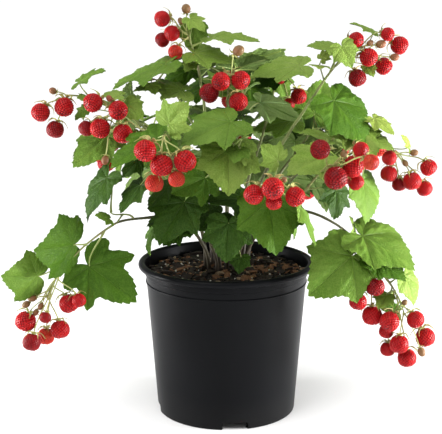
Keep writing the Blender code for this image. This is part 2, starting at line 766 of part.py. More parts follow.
def arc(middle, radius, first, last, steps):
    """Points of a profile along an arc, from one angle to another."""
    for step in range(steps + 1):
        angle = math.radians(first + (last - first) * step / steps)
        yield (middle[0] + radius * math.cos(angle), middle[1] + radius * math.sin(angle))


def turned(profile):
    """A closed body turned from a profile of radius and height that starts and ends on the axis."""
    mesh = bmesh.new()
    verts = [mesh.verts.new((radius, 0, height)) for radius, height in profile]
    edges = [mesh.edges.new(pair) for pair in zip(verts, verts[1:])]
    bmesh.ops.spin(
        mesh,
        geom=verts + edges,
        axis=UP,
        cent=(0, 0, 0),
        angle=math.tau,
        steps=POT_SIDES,
        use_merge=True,
    )
    bmesh.ops.remove_doubles(mesh, verts=mesh.verts, dist=1e-6)
    bmesh.ops.recalc_face_normals(mesh, faces=mesh.faces)
    return mesh


def pot_profile():
    """The pot's section: pad, channel, foot, wall, collar, rolled rim and inner wall."""
    roll = (RIM_DIAMETER / 2 - ROLL_RADIUS, ROLL_LEVEL)
    step = CHANNEL_HEIGHT
    return [
        (0, 0),
        (PAD_RADIUS, 0),
        (PAD_RADIUS + 4 * MM, step),
        (CHANNEL_OUTER, step),
        (CHANNEL_OUTER + 0.6 * MM, 0),
        (BASE_RADIUS - 1.2 * MM, 0),
        (wall_radius(1.2 * MM), 1.2 * MM),
        (wall_radius(NOTCH_SIZE.z + 3 * MM), NOTCH_SIZE.z + 3 * MM),
        (wall_radius(RING_LEVEL), RING_LEVEL - 0.6 * MM),
        (wall_radius(RING_LEVEL) + 0.9 * MM, RING_LEVEL - 0.3 * MM),
        (wall_radius(RING_LEVEL) + 0.9 * MM, RING_LEVEL + 0.6 * MM),
        (wall_radius(RING_LEVEL) + 0.5 * MM, BAND_LEVEL),
        (wall_radius(RING_LEVEL) + 1.7 * MM, BAND_LEVEL + 0.5 * MM),
        *arc(roll, ROLL_RADIUS, 218, 520, 6),
        (inner_radius(SOIL_LEVEL), SOIL_LEVEL - 6 * MM),
        (inner_radius(step + 5 * MM), step + 5 * MM),
        (inner_radius(0) - 2.5 * MM, step + WALL),
        (PAD_RADIUS + 4 * MM - WALL, step + WALL),
        (PAD_RADIUS - WALL, WALL),
        (0, WALL),
    ]


def inner_radius(level):
    """The inner radius of the pot's wall at a height."""
    return wall_radius(level) - WALL


def soil_profile():
    """The soil's section: it fills the pot a gap clear of the wall, with a flat crown in the middle."""
    step = CHANNEL_HEIGHT
    return [
        (0, WALL + GAP),
        (PAD_RADIUS - WALL - 2 * GAP, WALL + GAP),
        (PAD_RADIUS + 4 * MM - WALL - 2 * GAP, step + WALL + GAP),
        (inner_radius(0) - 2.5 * MM - GAP, step + WALL + GAP),
        (inner_radius(step + 5 * MM) - 2 * GAP, step + 5 * MM),
        (inner_radius(SOIL_LEVEL) - 3 * GAP, SOIL_LEVEL - 6 * MM),
        (inner_radius(SOIL_LEVEL) - 3 * GAP, SOIL_LEVEL - 1.5 * MM),
        ((inner_radius(SOIL_LEVEL) + CROWN_RADIUS) / 2, SOIL_LEVEL + 0.5 * MM),
        (CROWN_RADIUS, CROWN_LEVEL),
        (0, CROWN_LEVEL),
    ]


def finish(name, colour, roughness):
    """A plain finish with a colour and a roughness."""
    material = bpy.data.materials.new(name)
    material.use_nodes = True
    shader = material.node_tree.nodes["Principled BSDF"]
    shader.inputs["Base Color"].default_value = (*colour, 1)
    shader.inputs["Roughness"].default_value = roughness
    shader.inputs["Metallic"].default_value = 0
    return material


def shown(name, mesh, material, collection=None):
    """An object with a finish, made from a mesh under construction."""
    data = bpy.data.meshes.new(name)
    mesh.to_mesh(data)
    mesh.free()
    data.shade_smooth()
    data.set_sharp_from_angle(angle=SHARP_ANGLE)
    data.materials.append(material)
    item = bpy.data.objects.new(name, data)
    (collection or bpy.context.scene.collection).objects.link(item)
    return item


def settle(item):
    """Gives an object the mesh that its modifiers make, and removes them."""
    evaluated = item.evaluated_get(bpy.context.evaluated_depsgraph_get())
    made = bpy.data.meshes.new_from_object(evaluated)
    item.modifiers.clear()
    item.data = made


def drop_scraps(item):
    """Removes every loose body of an object but the largest."""
    mesh = bmesh.new()
    mesh.from_mesh(item.data)
    left, bodies = set(mesh.faces), []
    while left:
        body, edge = set(), {left.pop()}
        while edge:
            body |= edge
            edge = {other for face in edge for line in face.edges for other in line.link_faces} - body
        left -= body
        bodies.append(body)
    largest = max(bodies, key=len)
    bmesh.ops.delete(mesh, geom=[face for face in mesh.faces if face not in largest], context="FACES")
    mesh.to_mesh(item.data)
    mesh.free()


def block(size, frame):
    """A box of a size in a frame."""
    mesh = bmesh.new()
    bmesh.ops.create_cube(mesh, size=1, matrix=frame @ Matrix.Diagonal((*size, 1)))
    return mesh


def build_pot(material):
    """The pot, with its foot notches and the drains behind them cut through."""
    pot = shown("pot", turned(pot_profile()), material)
    cutters = bpy.data.collections.new("cutters")
    for k in range(NOTCH_COUNT):
        turn = Matrix.Rotation(math.radians(NOTCH_START + 360 / NOTCH_COUNT * k), 4, "Z")
        notch = Matrix.Translation((BASE_RADIUS, 0, CHANNEL_HEIGHT - NOTCH_SIZE.z / 2))
        drain = Matrix.Translation((DRAIN_RADIUS, 0, CHANNEL_HEIGHT))
        shown("notch", block(NOTCH_SIZE, turn @ notch), material, cutters)
        shown("drain", block(DRAIN_SIZE, turn @ drain), material, cutters)
    cut(pot, "DIFFERENCE", cutters)


def build_soil(material):
    """The soil, with the larger bark chips fused to its top."""
    soil = shown("soil", turned(soil_profile()), material)
    chips = bpy.data.collections.new("chips")
    for k in range(CHIP_COUNT):
        away = spread_between(CHIP_SPAN, k * GOLDEN_SHARE) * inner_radius(SOIL_LEVEL)
        place = heading_of(GOLDEN_ANGLE * k, 0) * away + UP * (SOIL_LEVEL + CHIP_LIFT)
        turn = Quaternion(UP, CHIP_TURN * k) @ Quaternion((1, 0, 0), CHIP_TILT * math.sin(2 * CHIP_TURN * k))
        size = CHIP_SIZE * spread_between(CHIP_SIZES, k * MORE_STEP)
        frame = Matrix.Translation(place) @ turn.to_matrix().to_4x4()
        shown("chip", block(size, frame), material, chips)
    cut(soil, "UNION", chips)


def cut(item, operation, others, solver="EXACT"):
    """Joins or cuts a collection's objects with one Boolean, applies it and removes them."""
    boolean = item.modifiers.new("boolean", "BOOLEAN")
    boolean.operation = operation
    boolean.operand_type = "COLLECTION"
    boolean.collection = others
    boolean.solver = solver
    boolean.material_mode = "TRANSFER"
    bpy.context.scene.collection.children.link(others)
    settle(item)
    drop_scraps(item)
    for other in list(others.objects):
        bpy.data.objects.remove(other)
    bpy.data.collections.remove(others)


def build_plant(finishes):
    """Grows the plant and gives each cane, bough and foliage mass an object of its own."""
    plant = Plant()
    plant.grow_limbs()
    plant.grow_stems()
    plant.grow_fruit()
    plant.grow_leaves()
    plant.grow_more_leaves()
    for name, path in plant.limbs.items():
        shown(name, tube(path, CANE_SIDES, plant.steps[name]), finishes["wood"])
    for name, pieces in plant.masses.items():
        for mesh, _ in pieces:
            bmesh.ops.triangulate(mesh, faces=mesh.faces)
        stem = shown(name, pieces[0][0], finishes["wood"])
        grown = bpy.data.collections.new("grown")
        for mesh, kind in pieces[1:]:
            shown(kind, mesh, finishes[kind], grown)
        cut(stem, "UNION", grown, "MANIFOLD")
    return plant


def main():
    """Clears the scene and builds the potted plant."""
    for item in list(bpy.data.objects):
        bpy.data.objects.remove(item)
    build_pot(finish("black_plastic", (0.016, 0.017, 0.018), 0.42))
    build_soil(finish("potting_mix", (0.045, 0.028, 0.018), 0.95))
    finishes = {
        "wood": finish("green_brown_bark", (0.16, 0.14, 0.05), 0.65),
        "leaf": finish("leaf_green", (0.075, 0.19, 0.022), 0.55),
        "fruit": finish("ripe_red", (0.55, 0.012, 0.018), 0.35),
    }
    return build_plant(finishes)


if __name__ == "__main__":
    main()
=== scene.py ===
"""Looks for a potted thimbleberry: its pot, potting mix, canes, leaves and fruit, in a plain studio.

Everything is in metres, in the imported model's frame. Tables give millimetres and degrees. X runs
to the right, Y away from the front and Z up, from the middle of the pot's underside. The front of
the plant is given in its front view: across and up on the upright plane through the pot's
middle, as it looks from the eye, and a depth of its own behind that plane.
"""

import logging
import math
import random
from collections.abc import Iterable, Iterator, Sequence
from dataclasses import dataclass, field
from enum import Enum
from itertools import product
from typing import NamedTuple, Optional, Union

import bmesh
import bpy
from mathutils import Matrix, Quaternion, Vector, noise
from mathutils.bvhtree import BVHTree


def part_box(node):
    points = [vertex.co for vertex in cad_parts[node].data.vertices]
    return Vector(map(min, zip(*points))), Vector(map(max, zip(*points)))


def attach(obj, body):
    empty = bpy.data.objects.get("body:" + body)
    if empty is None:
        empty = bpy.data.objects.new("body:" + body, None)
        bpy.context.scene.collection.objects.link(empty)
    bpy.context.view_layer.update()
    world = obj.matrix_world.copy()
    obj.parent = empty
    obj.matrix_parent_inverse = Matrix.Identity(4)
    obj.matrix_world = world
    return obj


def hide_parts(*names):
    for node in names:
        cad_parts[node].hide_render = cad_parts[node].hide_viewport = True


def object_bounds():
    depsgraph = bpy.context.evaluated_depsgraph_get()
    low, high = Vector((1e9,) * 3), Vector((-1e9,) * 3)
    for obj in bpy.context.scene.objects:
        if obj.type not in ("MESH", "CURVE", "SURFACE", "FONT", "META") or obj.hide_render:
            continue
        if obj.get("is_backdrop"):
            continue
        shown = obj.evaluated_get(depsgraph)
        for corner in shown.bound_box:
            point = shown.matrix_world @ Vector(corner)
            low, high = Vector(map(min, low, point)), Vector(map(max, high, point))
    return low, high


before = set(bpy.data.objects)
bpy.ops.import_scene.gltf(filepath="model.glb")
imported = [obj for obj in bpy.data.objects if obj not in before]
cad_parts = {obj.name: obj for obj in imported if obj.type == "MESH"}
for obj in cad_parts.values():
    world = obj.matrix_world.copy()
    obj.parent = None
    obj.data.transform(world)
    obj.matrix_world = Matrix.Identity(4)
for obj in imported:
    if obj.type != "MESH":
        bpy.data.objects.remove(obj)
CAD_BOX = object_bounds()

LOG = logging.getLogger("thimbleberry")
MM = 0.001
GAP = 0.3 * MM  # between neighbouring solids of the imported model
UP = Vector((0, 0, 1))
EYE = Vector((-5, -1100, 426)) * MM  # where the front view is seen from
BODY = "root"
SHARP_ANGLE = math.radians(35)
GOLDEN_ANGLE = 137.5
GOLDEN_SHARE = 0.618

Triple = tuple[float, float, float]
Colour = Triple


class Slot(Enum):
    """The record's material slots."""

    POT = "pot"
    SOIL = "soil"
    WOOD = "wood"
    FOLIAGE = "foliage"


class Tone(Enum):
    """The leaf greens, from the youngest to the darkest: partly the leaves' own greens, with painted light in
    the lighter ones and painted shade in the darker ones.
    """

    YOUNG = 0
    LIGHT = 1
    MID = 2
    DEEP = 3
    DARK = 4


class Ripeness(Enum):
    """The berry reds, and the brown of a bud."""

    RIPE = 0
    DARK = 1
    TURNING = 2
    BUD = 3


# Finishes


class Value:
    """A number's socket in a material, with the operators that expressions on it use."""

    def __init__(self, shader: "Shader", socket: bpy.types.NodeSocket) -> None:
        """Keeps the shader that the socket is in, and the socket."""
        self.shader = shader
        self.socket = socket

    def __add__(self, other: "Operand") -> "Value":
        """The sum."""
        return self.shader.math("ADD", self, other)

    def __sub__(self, other: "Operand") -> "Value":
        """The difference."""
        return self.shader.math("SUBTRACT", self, other)

    def __rsub__(self, other: "Operand") -> "Value":
        """The difference from a number."""
        return self.shader.math("SUBTRACT", other, self)

    def __mul__(self, other: "Operand") -> "Value":
        """The product."""
        return self.shader.math("MULTIPLY", self, other)

    def __pow__(self, other: "Operand") -> "Value":
        """The power."""
        return self.shader.math("POWER", self, other)

    __radd__ = __add__
    __rmul__ = __mul__

    def between(self, low: float, high: float) -> "Value":
        """A clamped ramp from 0 at one value to 1 at another.

        Args:
            low: The value that gives 0.
            high: The value that gives 1.

        Returns:
            The share.
        """
        span = high - low
        return self.shader.math("MULTIPLY_ADD", self, 1 / span, -low / span, clamped=True)


Operand = Union[Value, float]
Setting = Union[Value, bpy.types.NodeSocket, float, str, Sequence[float]]


class Shader:
    """A material under construction, with one Principled shader."""

    def __init__(self, name: str) -> None:
        """Starts a material.

        Args:
            name: The finish's name.
        """
        self.material = bpy.data.materials.new(name)
        self.material.use_nodes = True
        self.tree = self.material.node_tree
        self.surface = self.tree.nodes["Principled BSDF"]
        self.place = self.add("ShaderNodeTexCoord").outputs["Object"]

    def add(
        self,
        kind: str,
        settings: Optional[dict[str, Setting]] = None,
        inputs: Optional[dict[Union[str, int], Setting]] = None,
    ) -> bpy.types.Node:
        """Adds a node.

        Args:
            kind: The node's type.
            settings: Its properties, set first.
            inputs: The values or links of its sockets.

        Returns:
            The node.
        """
        node = self.tree.nodes.new(kind)
        for name, value in (settings or {}).items():
            setattr(node, name, value)
        for key, value in (inputs or {}).items():
            self.feed(node.inputs[key], value)
        return node

    def feed(self, socket: bpy.types.NodeSocket, value: Setting) -> None:
        """Links a value to a socket, or sets the socket's own value."""
        if isinstance(value, Value):
            value = value.socket
        if isinstance(value, bpy.types.NodeSocket):
            self.tree.links.new(value, socket)
        else:
            socket.default_value = value

    def math(self, operation: str, *values: Operand, clamped: bool = False) -> Value:
        """A Math node on values.

        Args:
            operation: The node's operation.
            *values: Its operands.
            clamped: Whether the result is kept from 0 to 1.

        Returns:
            The result.
        """
        settings = {"operation": operation, "use_clamp": clamped}
        node = self.add("ShaderNodeMath", settings, dict(enumerate(values)))
        return Value(self, node.outputs[0])

    def grain(self, scale: float, detail: float = 3.0, stretch: Colour = (1, 1, 1)) -> Value:
        """Noise on object coordinates.

        Args:
            scale: Its grains in a metre.
            detail: Its octaves.
            stretch: How much denser it is along each axis.

        Returns:
            The noise, from 0 to 1.
        """
        settings = {"operation": "MULTIPLY"}
        dense = self.add("ShaderNodeVectorMath", settings, {0: self.place, 1: stretch})
        inputs = {"Vector": dense.outputs[0], "Scale": scale, "Detail": detail}
        return Value(self, self.add("ShaderNodeTexNoise", None, inputs).outputs["Fac"])

    def cells(self, scale: float) -> Value:
        """The distance to the edge between rounded cells, on object coordinates."""
        settings = {"feature": "DISTANCE_TO_EDGE"}
        inputs = {"Vector": self.place, "Scale": scale}
        return Value(self, self.add("ShaderNodeTexVoronoi", settings, inputs).outputs[0])

    def height(self) -> Value:
        """The height above the floor, in metres."""
        inputs = {"Vector": self.place}
        return Value(self, self.add("ShaderNodeSeparateXYZ", None, inputs).outputs["Z"])

    def mixed(self, share: Operand, first: Setting, second: Setting) -> bpy.types.NodeSocket:
        """A mix of two colours.

        Args:
            share: The second colour's share.
            first: The first colour or its socket.
            second: The second.

        Returns:
            The mix's socket.
        """
        node = self.add("ShaderNodeMix", {"data_type": "RGBA"})
        self.feed(node.inputs[0], share)
        for place, colour in ((6, first), (7, second)):
            is_socket = isinstance(colour, bpy.types.NodeSocket)
            self.feed(node.inputs[place], colour if is_socket else (*colour, 1))
        return node.outputs[2]

    def finish(
        self,
        colour: Setting,
        roughness: Operand,
        relief: Optional[Value] = None,
        depth: float = 0.0,
        **constants: float,
    ) -> bpy.types.Material:
        """Sets the surface.

        Args:
            colour: The base colour.
            roughness: The roughness.
            relief: A height from 0 to 1 that shades the surface.
            depth: The relief's depth in metres.
            **constants: Other sockets of the surface, with spaces as underscores.

        Returns:
            The material.
        """
        self.feed(self.surface.inputs["Base Color"], colour)
        self.feed(self.surface.inputs["Roughness"], roughness)
        if relief is not None:
            inputs = {"Height": relief, "Distance": depth, "Strength": 1.0}
            bump = self.add("ShaderNodeBump", None, inputs)
            self.feed(self.surface.inputs["Normal"], bump.outputs["Normal"])
        for name, value in constants.items():
            self.surface.inputs[name.replace("_", " ")].default_value = value
        return self.material


@dataclass(frozen=True)
class PlasticFinish:
    """The pot's black plastic: satin, a little dusty low down, with faint flow lines."""

    name: str = "pot_black_satin"
    colour: Colour = (0.004, 0.0043, 0.005)
    dust: Colour = (0.022, 0.021, 0.02)
    roughness: float = 0.3
    dust_level: float = 30 * MM

    def material(self) -> bpy.types.Material:
        """The finish as a material."""
        shader = Shader(self.name)
        cloud = shader.grain(22, 4)
        low = 1 - shader.height().between(0, self.dust_level)
        dusty = low * cloud * 0.4 + shader.grain(160, 3).between(0.6, 0.85) * 0.05
        colour = shader.mixed(dusty, self.colour, self.dust)
        streaks = shader.grain(90, 3, (1, 1, 0.12))
        roughness = self.roughness + cloud * 0.12 + dusty * 0.2
        relief = streaks + shader.grain(900, 2) * 0.5
        return shader.finish(colour, roughness, relief, 0.05 * MM, Specular_IOR_Level=0.06)


@dataclass(frozen=True)
class LeafFinish:
    """One green of the leaf blades, finely mottled, with a net of small veins in relief."""

    name: str
    colour: Colour
    second: Colour
    roughness: float = 0.5
    relief: float = 0.26 * MM

    def material(self) -> bpy.types.Material:
        """The finish as a material."""
        shader = Shader(self.name)
        mottle = shader.grain(70, 4).between(0.35, 0.68) * 0.55 + shader.grain(24, 2).between(0.35, 0.65) * 0.45
        net = shader.cells(420).between(0.0, 0.16)
        colour = shader.mixed(mottle, self.colour, self.second)
        colour = shader.mixed((1 - net) * 0.4, colour, self.vein)
        roughness = self.roughness + mottle * 0.1
        relief = net * 0.8 + shader.grain(260, 3) * 0.7
        return shader.finish(colour, roughness, relief, self.relief, Specular_IOR_Level=0.13)

    @property
    def vein(self) -> Colour:
        """The veins' green, a little paler than the blade."""
        red, green, blue = self.colour
        return (red * 1.35 + 0.02, green * 1.2 + 0.03, blue * 1.3 + 0.01)


@dataclass(frozen=True)
class StemFinish:
    """A twig's, petiole's or sepal's finish: one colour that another one flushes."""

    name: str
    colour: Colour
    flush: Colour
    roughness: float = 0.55

    def material(self) -> bpy.types.Material:
        """The finish as a material."""
        shader = Shader(self.name)
        flushed = shader.grain(45, 3).between(0.4, 0.7)
        colour = shader.mixed(flushed, self.colour, self.flush)
        hairs = shader.grain(1500, 2)
        return shader.finish(colour, self.roughness + hairs * 0.1, hairs, 0.06 * MM)


@dataclass(frozen=True)
class BarkFinish:
    """The canes' bark: brown and flaking at the foot, where its dark browns are partly painted shade low among
    the canes, green-brown and smooth above.
    """

    name: str = "cane_bark"
    # The foot's and flakes' dark browns are partly the bark's own colour and partly painted shade under the
    # foliage.
    foot: Colour = (0.024, 0.015, 0.007)
    flake: Colour = (0.045, 0.03, 0.016)
    green: Colour = (0.07, 0.078, 0.018)
    tip: Colour = (0.17, 0.21, 0.055)
    levels: tuple[float, float, float] = (0.15, 0.22, 0.31)
    roughness: float = 0.62

    def material(self) -> bpy.types.Material:
        """The finish as a material."""
        shader = Shader(self.name)
        level = shader.height() + (shader.grain(40, 2) - 0.5) * 0.05
        strips = shader.grain(420, 4, (1, 1, 0.12)).between(0.42, 0.62)
        low, middle, high = self.levels
        bark = shader.mixed(strips, self.foot, self.flake)
        skin = shader.mixed(level.between(middle, high), self.green, self.tip)
        freckles = shader.grain(700, 2).between(0.62, 0.74) * 0.5
        skin = shader.mixed(freckles, skin, self.foot)
        colour = shader.mixed(level.between(low, middle), bark, skin)
        return shader.finish(colour, self.roughness + strips * 0.15, strips, 0.15 * MM)


@dataclass(frozen=True)
class BerryFinish:
    """A berry's glossy skin, a little paler in places."""

    name: str
    colour: Colour
    pale: Colour
    roughness: float = 0.36

    def material(self) -> bpy.types.Material:
        """The finish as a material."""
        shader = Shader(self.name)
        blush = shader.grain(120, 3).between(0.45, 0.72)
        colour = shader.mixed(blush, self.colour, self.pale)
        relief = shader.grain(1600, 2)
        roughness = self.roughness + blush * 0.08
        return shader.finish(colour, roughness, relief, 0.03 * MM, Specular_IOR_Level=0.24)


@dataclass(frozen=True)
class MixFinish:
    """A finish of the potting mix: earth, bark, splinters or perlite."""

    name: str
    colour: Colour
    second: Colour
    scale: float
    stretch: Colour = (1, 1, 1)
    roughness: float = 0.85
    relief: float = 0.4 * MM

    def material(self) -> bpy.types.Material:
        """The finish as a material."""
        shader = Shader(self.name)
        patches = shader.grain(self.scale, 5, self.stretch)
        fine = shader.grain(self.scale * 5, 3, self.stretch)
        share = (patches * 0.6 + fine * 0.4).between(0.38, 0.62)
        colour = shader.mixed(share, self.colour, self.second)
        return shader.finish(colour, self.roughness + fine * 0.1, fine, self.relief)


# The lighter greens are partly painted light, a sky sheen on leaves that face up, and the deeper and dark
# greens are partly painted shade on leaves in shadow.
LEAF_TOPS = {
    Tone.YOUNG: LeafFinish("leaf_young", (0.27, 0.36, 0.07), (0.19, 0.29, 0.035)),
    Tone.LIGHT: LeafFinish("leaf_light", (0.19, 0.28, 0.05), (0.12, 0.215, 0.022)),
    Tone.MID: LeafFinish("leaf_mid", (0.115, 0.203, 0.026), (0.068, 0.15, 0.01)),
    Tone.DEEP: LeafFinish("leaf_deep", (0.055, 0.125, 0.006), (0.03, 0.086, 0.003)),
    Tone.DARK: LeafFinish("leaf_dark", (0.026, 0.066, 0.003), (0.014, 0.044, 0.002)),
}
# The underside's green is partly darkened as painted shade for the shade under the canopy.
UNDERSIDE = LeafFinish("leaf_underside", (0.115, 0.18, 0.045), (0.085, 0.14, 0.03), 0.65)
PETIOLE = StemFinish("petiole_green", (0.27, 0.34, 0.09), (0.22, 0.24, 0.07))
PEDICEL = StemFinish("pedicel_green", (0.42, 0.47, 0.16), (0.36, 0.33, 0.11))
SEPAL = StemFinish("sepal_green", (0.4, 0.44, 0.14), (0.38, 0.27, 0.09), 0.65)
TWIG = StemFinish("twig_green", (0.22, 0.27, 0.075), (0.2, 0.15, 0.06))
BUD = StemFinish("bud_russet", (0.15, 0.085, 0.022), (0.22, 0.045, 0.014))
BERRIES = {
    Ripeness.RIPE: BerryFinish("berry_ripe", (0.35, 0.003, 0.005), (0.46, 0.01, 0.01)),
    Ripeness.DARK: BerryFinish("berry_dark", (0.2, 0.002, 0.004), (0.28, 0.004, 0.006)),
    Ripeness.TURNING: BerryFinish("berry_turning", (0.44, 0.022, 0.012), (0.52, 0.06, 0.022)),
}
# The core's dark red is painted shade: it shows only in the creases between the drupelets.
BERRY_CORE_SHADE = BerryFinish("berry_core_painted_shade", (0.09, 0.001, 0.003), (0.12, 0.002, 0.004), 0.5)
EARTH = MixFinish("potting_earth", (0.003, 0.002, 0.0012), (0.013, 0.0085, 0.005), 120)
BARK_DARK = MixFinish("bark_chip_dark", (0.007, 0.004, 0.0025), (0.03, 0.016, 0.009), 200, (1, 1, 3))
BARK_RED = MixFinish("bark_chip_red", (0.08, 0.034, 0.015), (0.25, 0.12, 0.055), 220, (3, 1, 1))
BARK_PALE = MixFinish("bark_chip_pale", (0.2, 0.13, 0.075), (0.42, 0.31, 0.2), 240, (3, 1, 1))
PERLITE = MixFinish("perlite_white", (0.8, 0.77, 0.7), (0.62, 0.58, 0.5), 400)


# The growth rule: limbs, leaves and berries in free space


def at(x: float, y: float, z: float) -> Vector:
    """A table's point."""
    return Vector((x, y, z)) * MM


def seen(across: float, up: float, depth: float) -> Vector:
    """The point at a depth that the front view shows at a place on its own plane."""
    place = at(across, 0, up)
    return EYE + (place - EYE) * ((depth * MM - EYE.y) / -EYE.y)


class Limb(NamedTuple):
    """A cane or bough: what carries it, where, its tip, its slope there and its width.

    A bough stands a share of the way along its carrier, and a cane some millimetres from the
    middle of the soil, on the side that it leans to.
    """

    name: str
    carrier: str
    place: float
    tip: Vector
    pitch: float
    width: float


class Leaf(NamedTuple):
    """A listed leaf: its foot and tip in the front view, its length and where it grows.

    Its petiole leaves its stem a share of the way along, its foot is some way ahead of that place,
    and its blade faces a light so many degrees above the viewer and turned from them.
    """

    foot: tuple[float, float]
    tip: tuple[float, float]
    size: float
    along: float
    ahead: float = 0
    face: float = 50
    turn: float = 0


class Cluster(NamedTuple):
    """Berries listed one by one: their depth, and each one's place in the front view and its radius."""

    depth: float
    places: tuple[tuple[float, float, float], ...]


class Truss(NamedTuple):
    """Berries set by rule: how many, their middle, their spread and their first bearing."""

    count: int
    middle: tuple[float, float, float]
    spread: float
    start: float


class Spray(NamedTuple):
    """A foliage mass: its stem, which way it faces, its leaves, its fruit and how many more."""

    name: str
    carrier: str
    tip: Vector
    pitch: float
    leaves: tuple[Leaf, ...] = ()
    berries: Union[Cluster, Truss, None] = None
    more: int = 0
    size: float = 50
    facing: float = -90
    along: float = 1.0


LIMBS = (
    Limb("cane_low_left", "soil", 20, seen(-66, 189, -46), -4, 3.5),
    Limb("bough_low_left", "cane_low_left", 1, seen(-107, 181, -55), -30, 2.6),
    Limb("cane_low_right", "soil", 20, seen(75, 194, -45), -6, 3.5),
    Limb("bough_low_right", "cane_low_right", 1, seen(118, 170, -52), -45, 2.6),
    Limb("cane_left", "soil", 20, seen(-92, 286, -20), 35, 3.5),
    Limb("cane_front_left", "soil", 13, seen(-50, 257, -82), 55, 3.2),
    Limb("cane_top_left", "soil", 9, seen(-25, 323, 12), 80, 3.6),
    Limb("bough_shoulder_left", "cane_top_left", 0.66, seen(-48, 306, 2), 50, 2.3),
    Limb("cane_centre", "soil", 8, seen(1, 278, -28), 82, 3.5),
    Limb("bough_centre_front", "cane_centre", 0.6, seen(3, 253, -58), 55, 2.3),
    Limb("cane_top_right", "soil", 12, seen(84, 308, 0), 58, 3.6),
    Limb("cane_back_centre", "soil", 12, seen(41, 295, 58), 70, 3.5),
    Limb("cane_right", "soil", 20, seen(93, 255, -16), 45, 3.5),
    Limb("bough_far_right", "cane_right", 0.8, seen(134, 255, -16), 5, 2.3),
    Limb("cane_front_right", "soil", 14, seen(73, 212, -72), 45, 3.4),
    Limb("cane_front", "soil", 20, seen(37, 203, -84), 50, 3.4),
    Limb("cane_low_front_left", "soil", 20, seen(-27, 178, -54), 35, 3.2),
    Limb("cane_low_front", "soil", 15, seen(2, 175, -48), 50, 3.1),
    Limb("cane_back_left", "soil", 18, at(-68, 66, 262), 50, 3.6),
    Limb("bough_back_left", "cane_back_left", 0.62, at(-52, 98, 222), 15, 2.4),
    Limb("cane_back", "soil", 16, at(4, 84, 290), 65, 3.6),
    Limb("bough_back", "cane_back", 0.6, at(18, 112, 238), 20, 2.4),
    Limb("bough_middle", "cane_back", 0.5, at(12, 30, 270), 75, 2.4),
    Limb("cane_back_right", "soil", 20, at(82, 66, 258), 48, 3.6),
    Limb("bough_back_right", "cane_back_right", 0.62, at(72, 100, 212), 10, 2.4),
    Limb("bough_side_left", "cane_back_left", 0.8, at(-90, 46, 250), 10, 2.4),
    Limb("bough_side_right", "cane_back_right", 0.8, at(102, 46, 244), 8, 2.4),
)

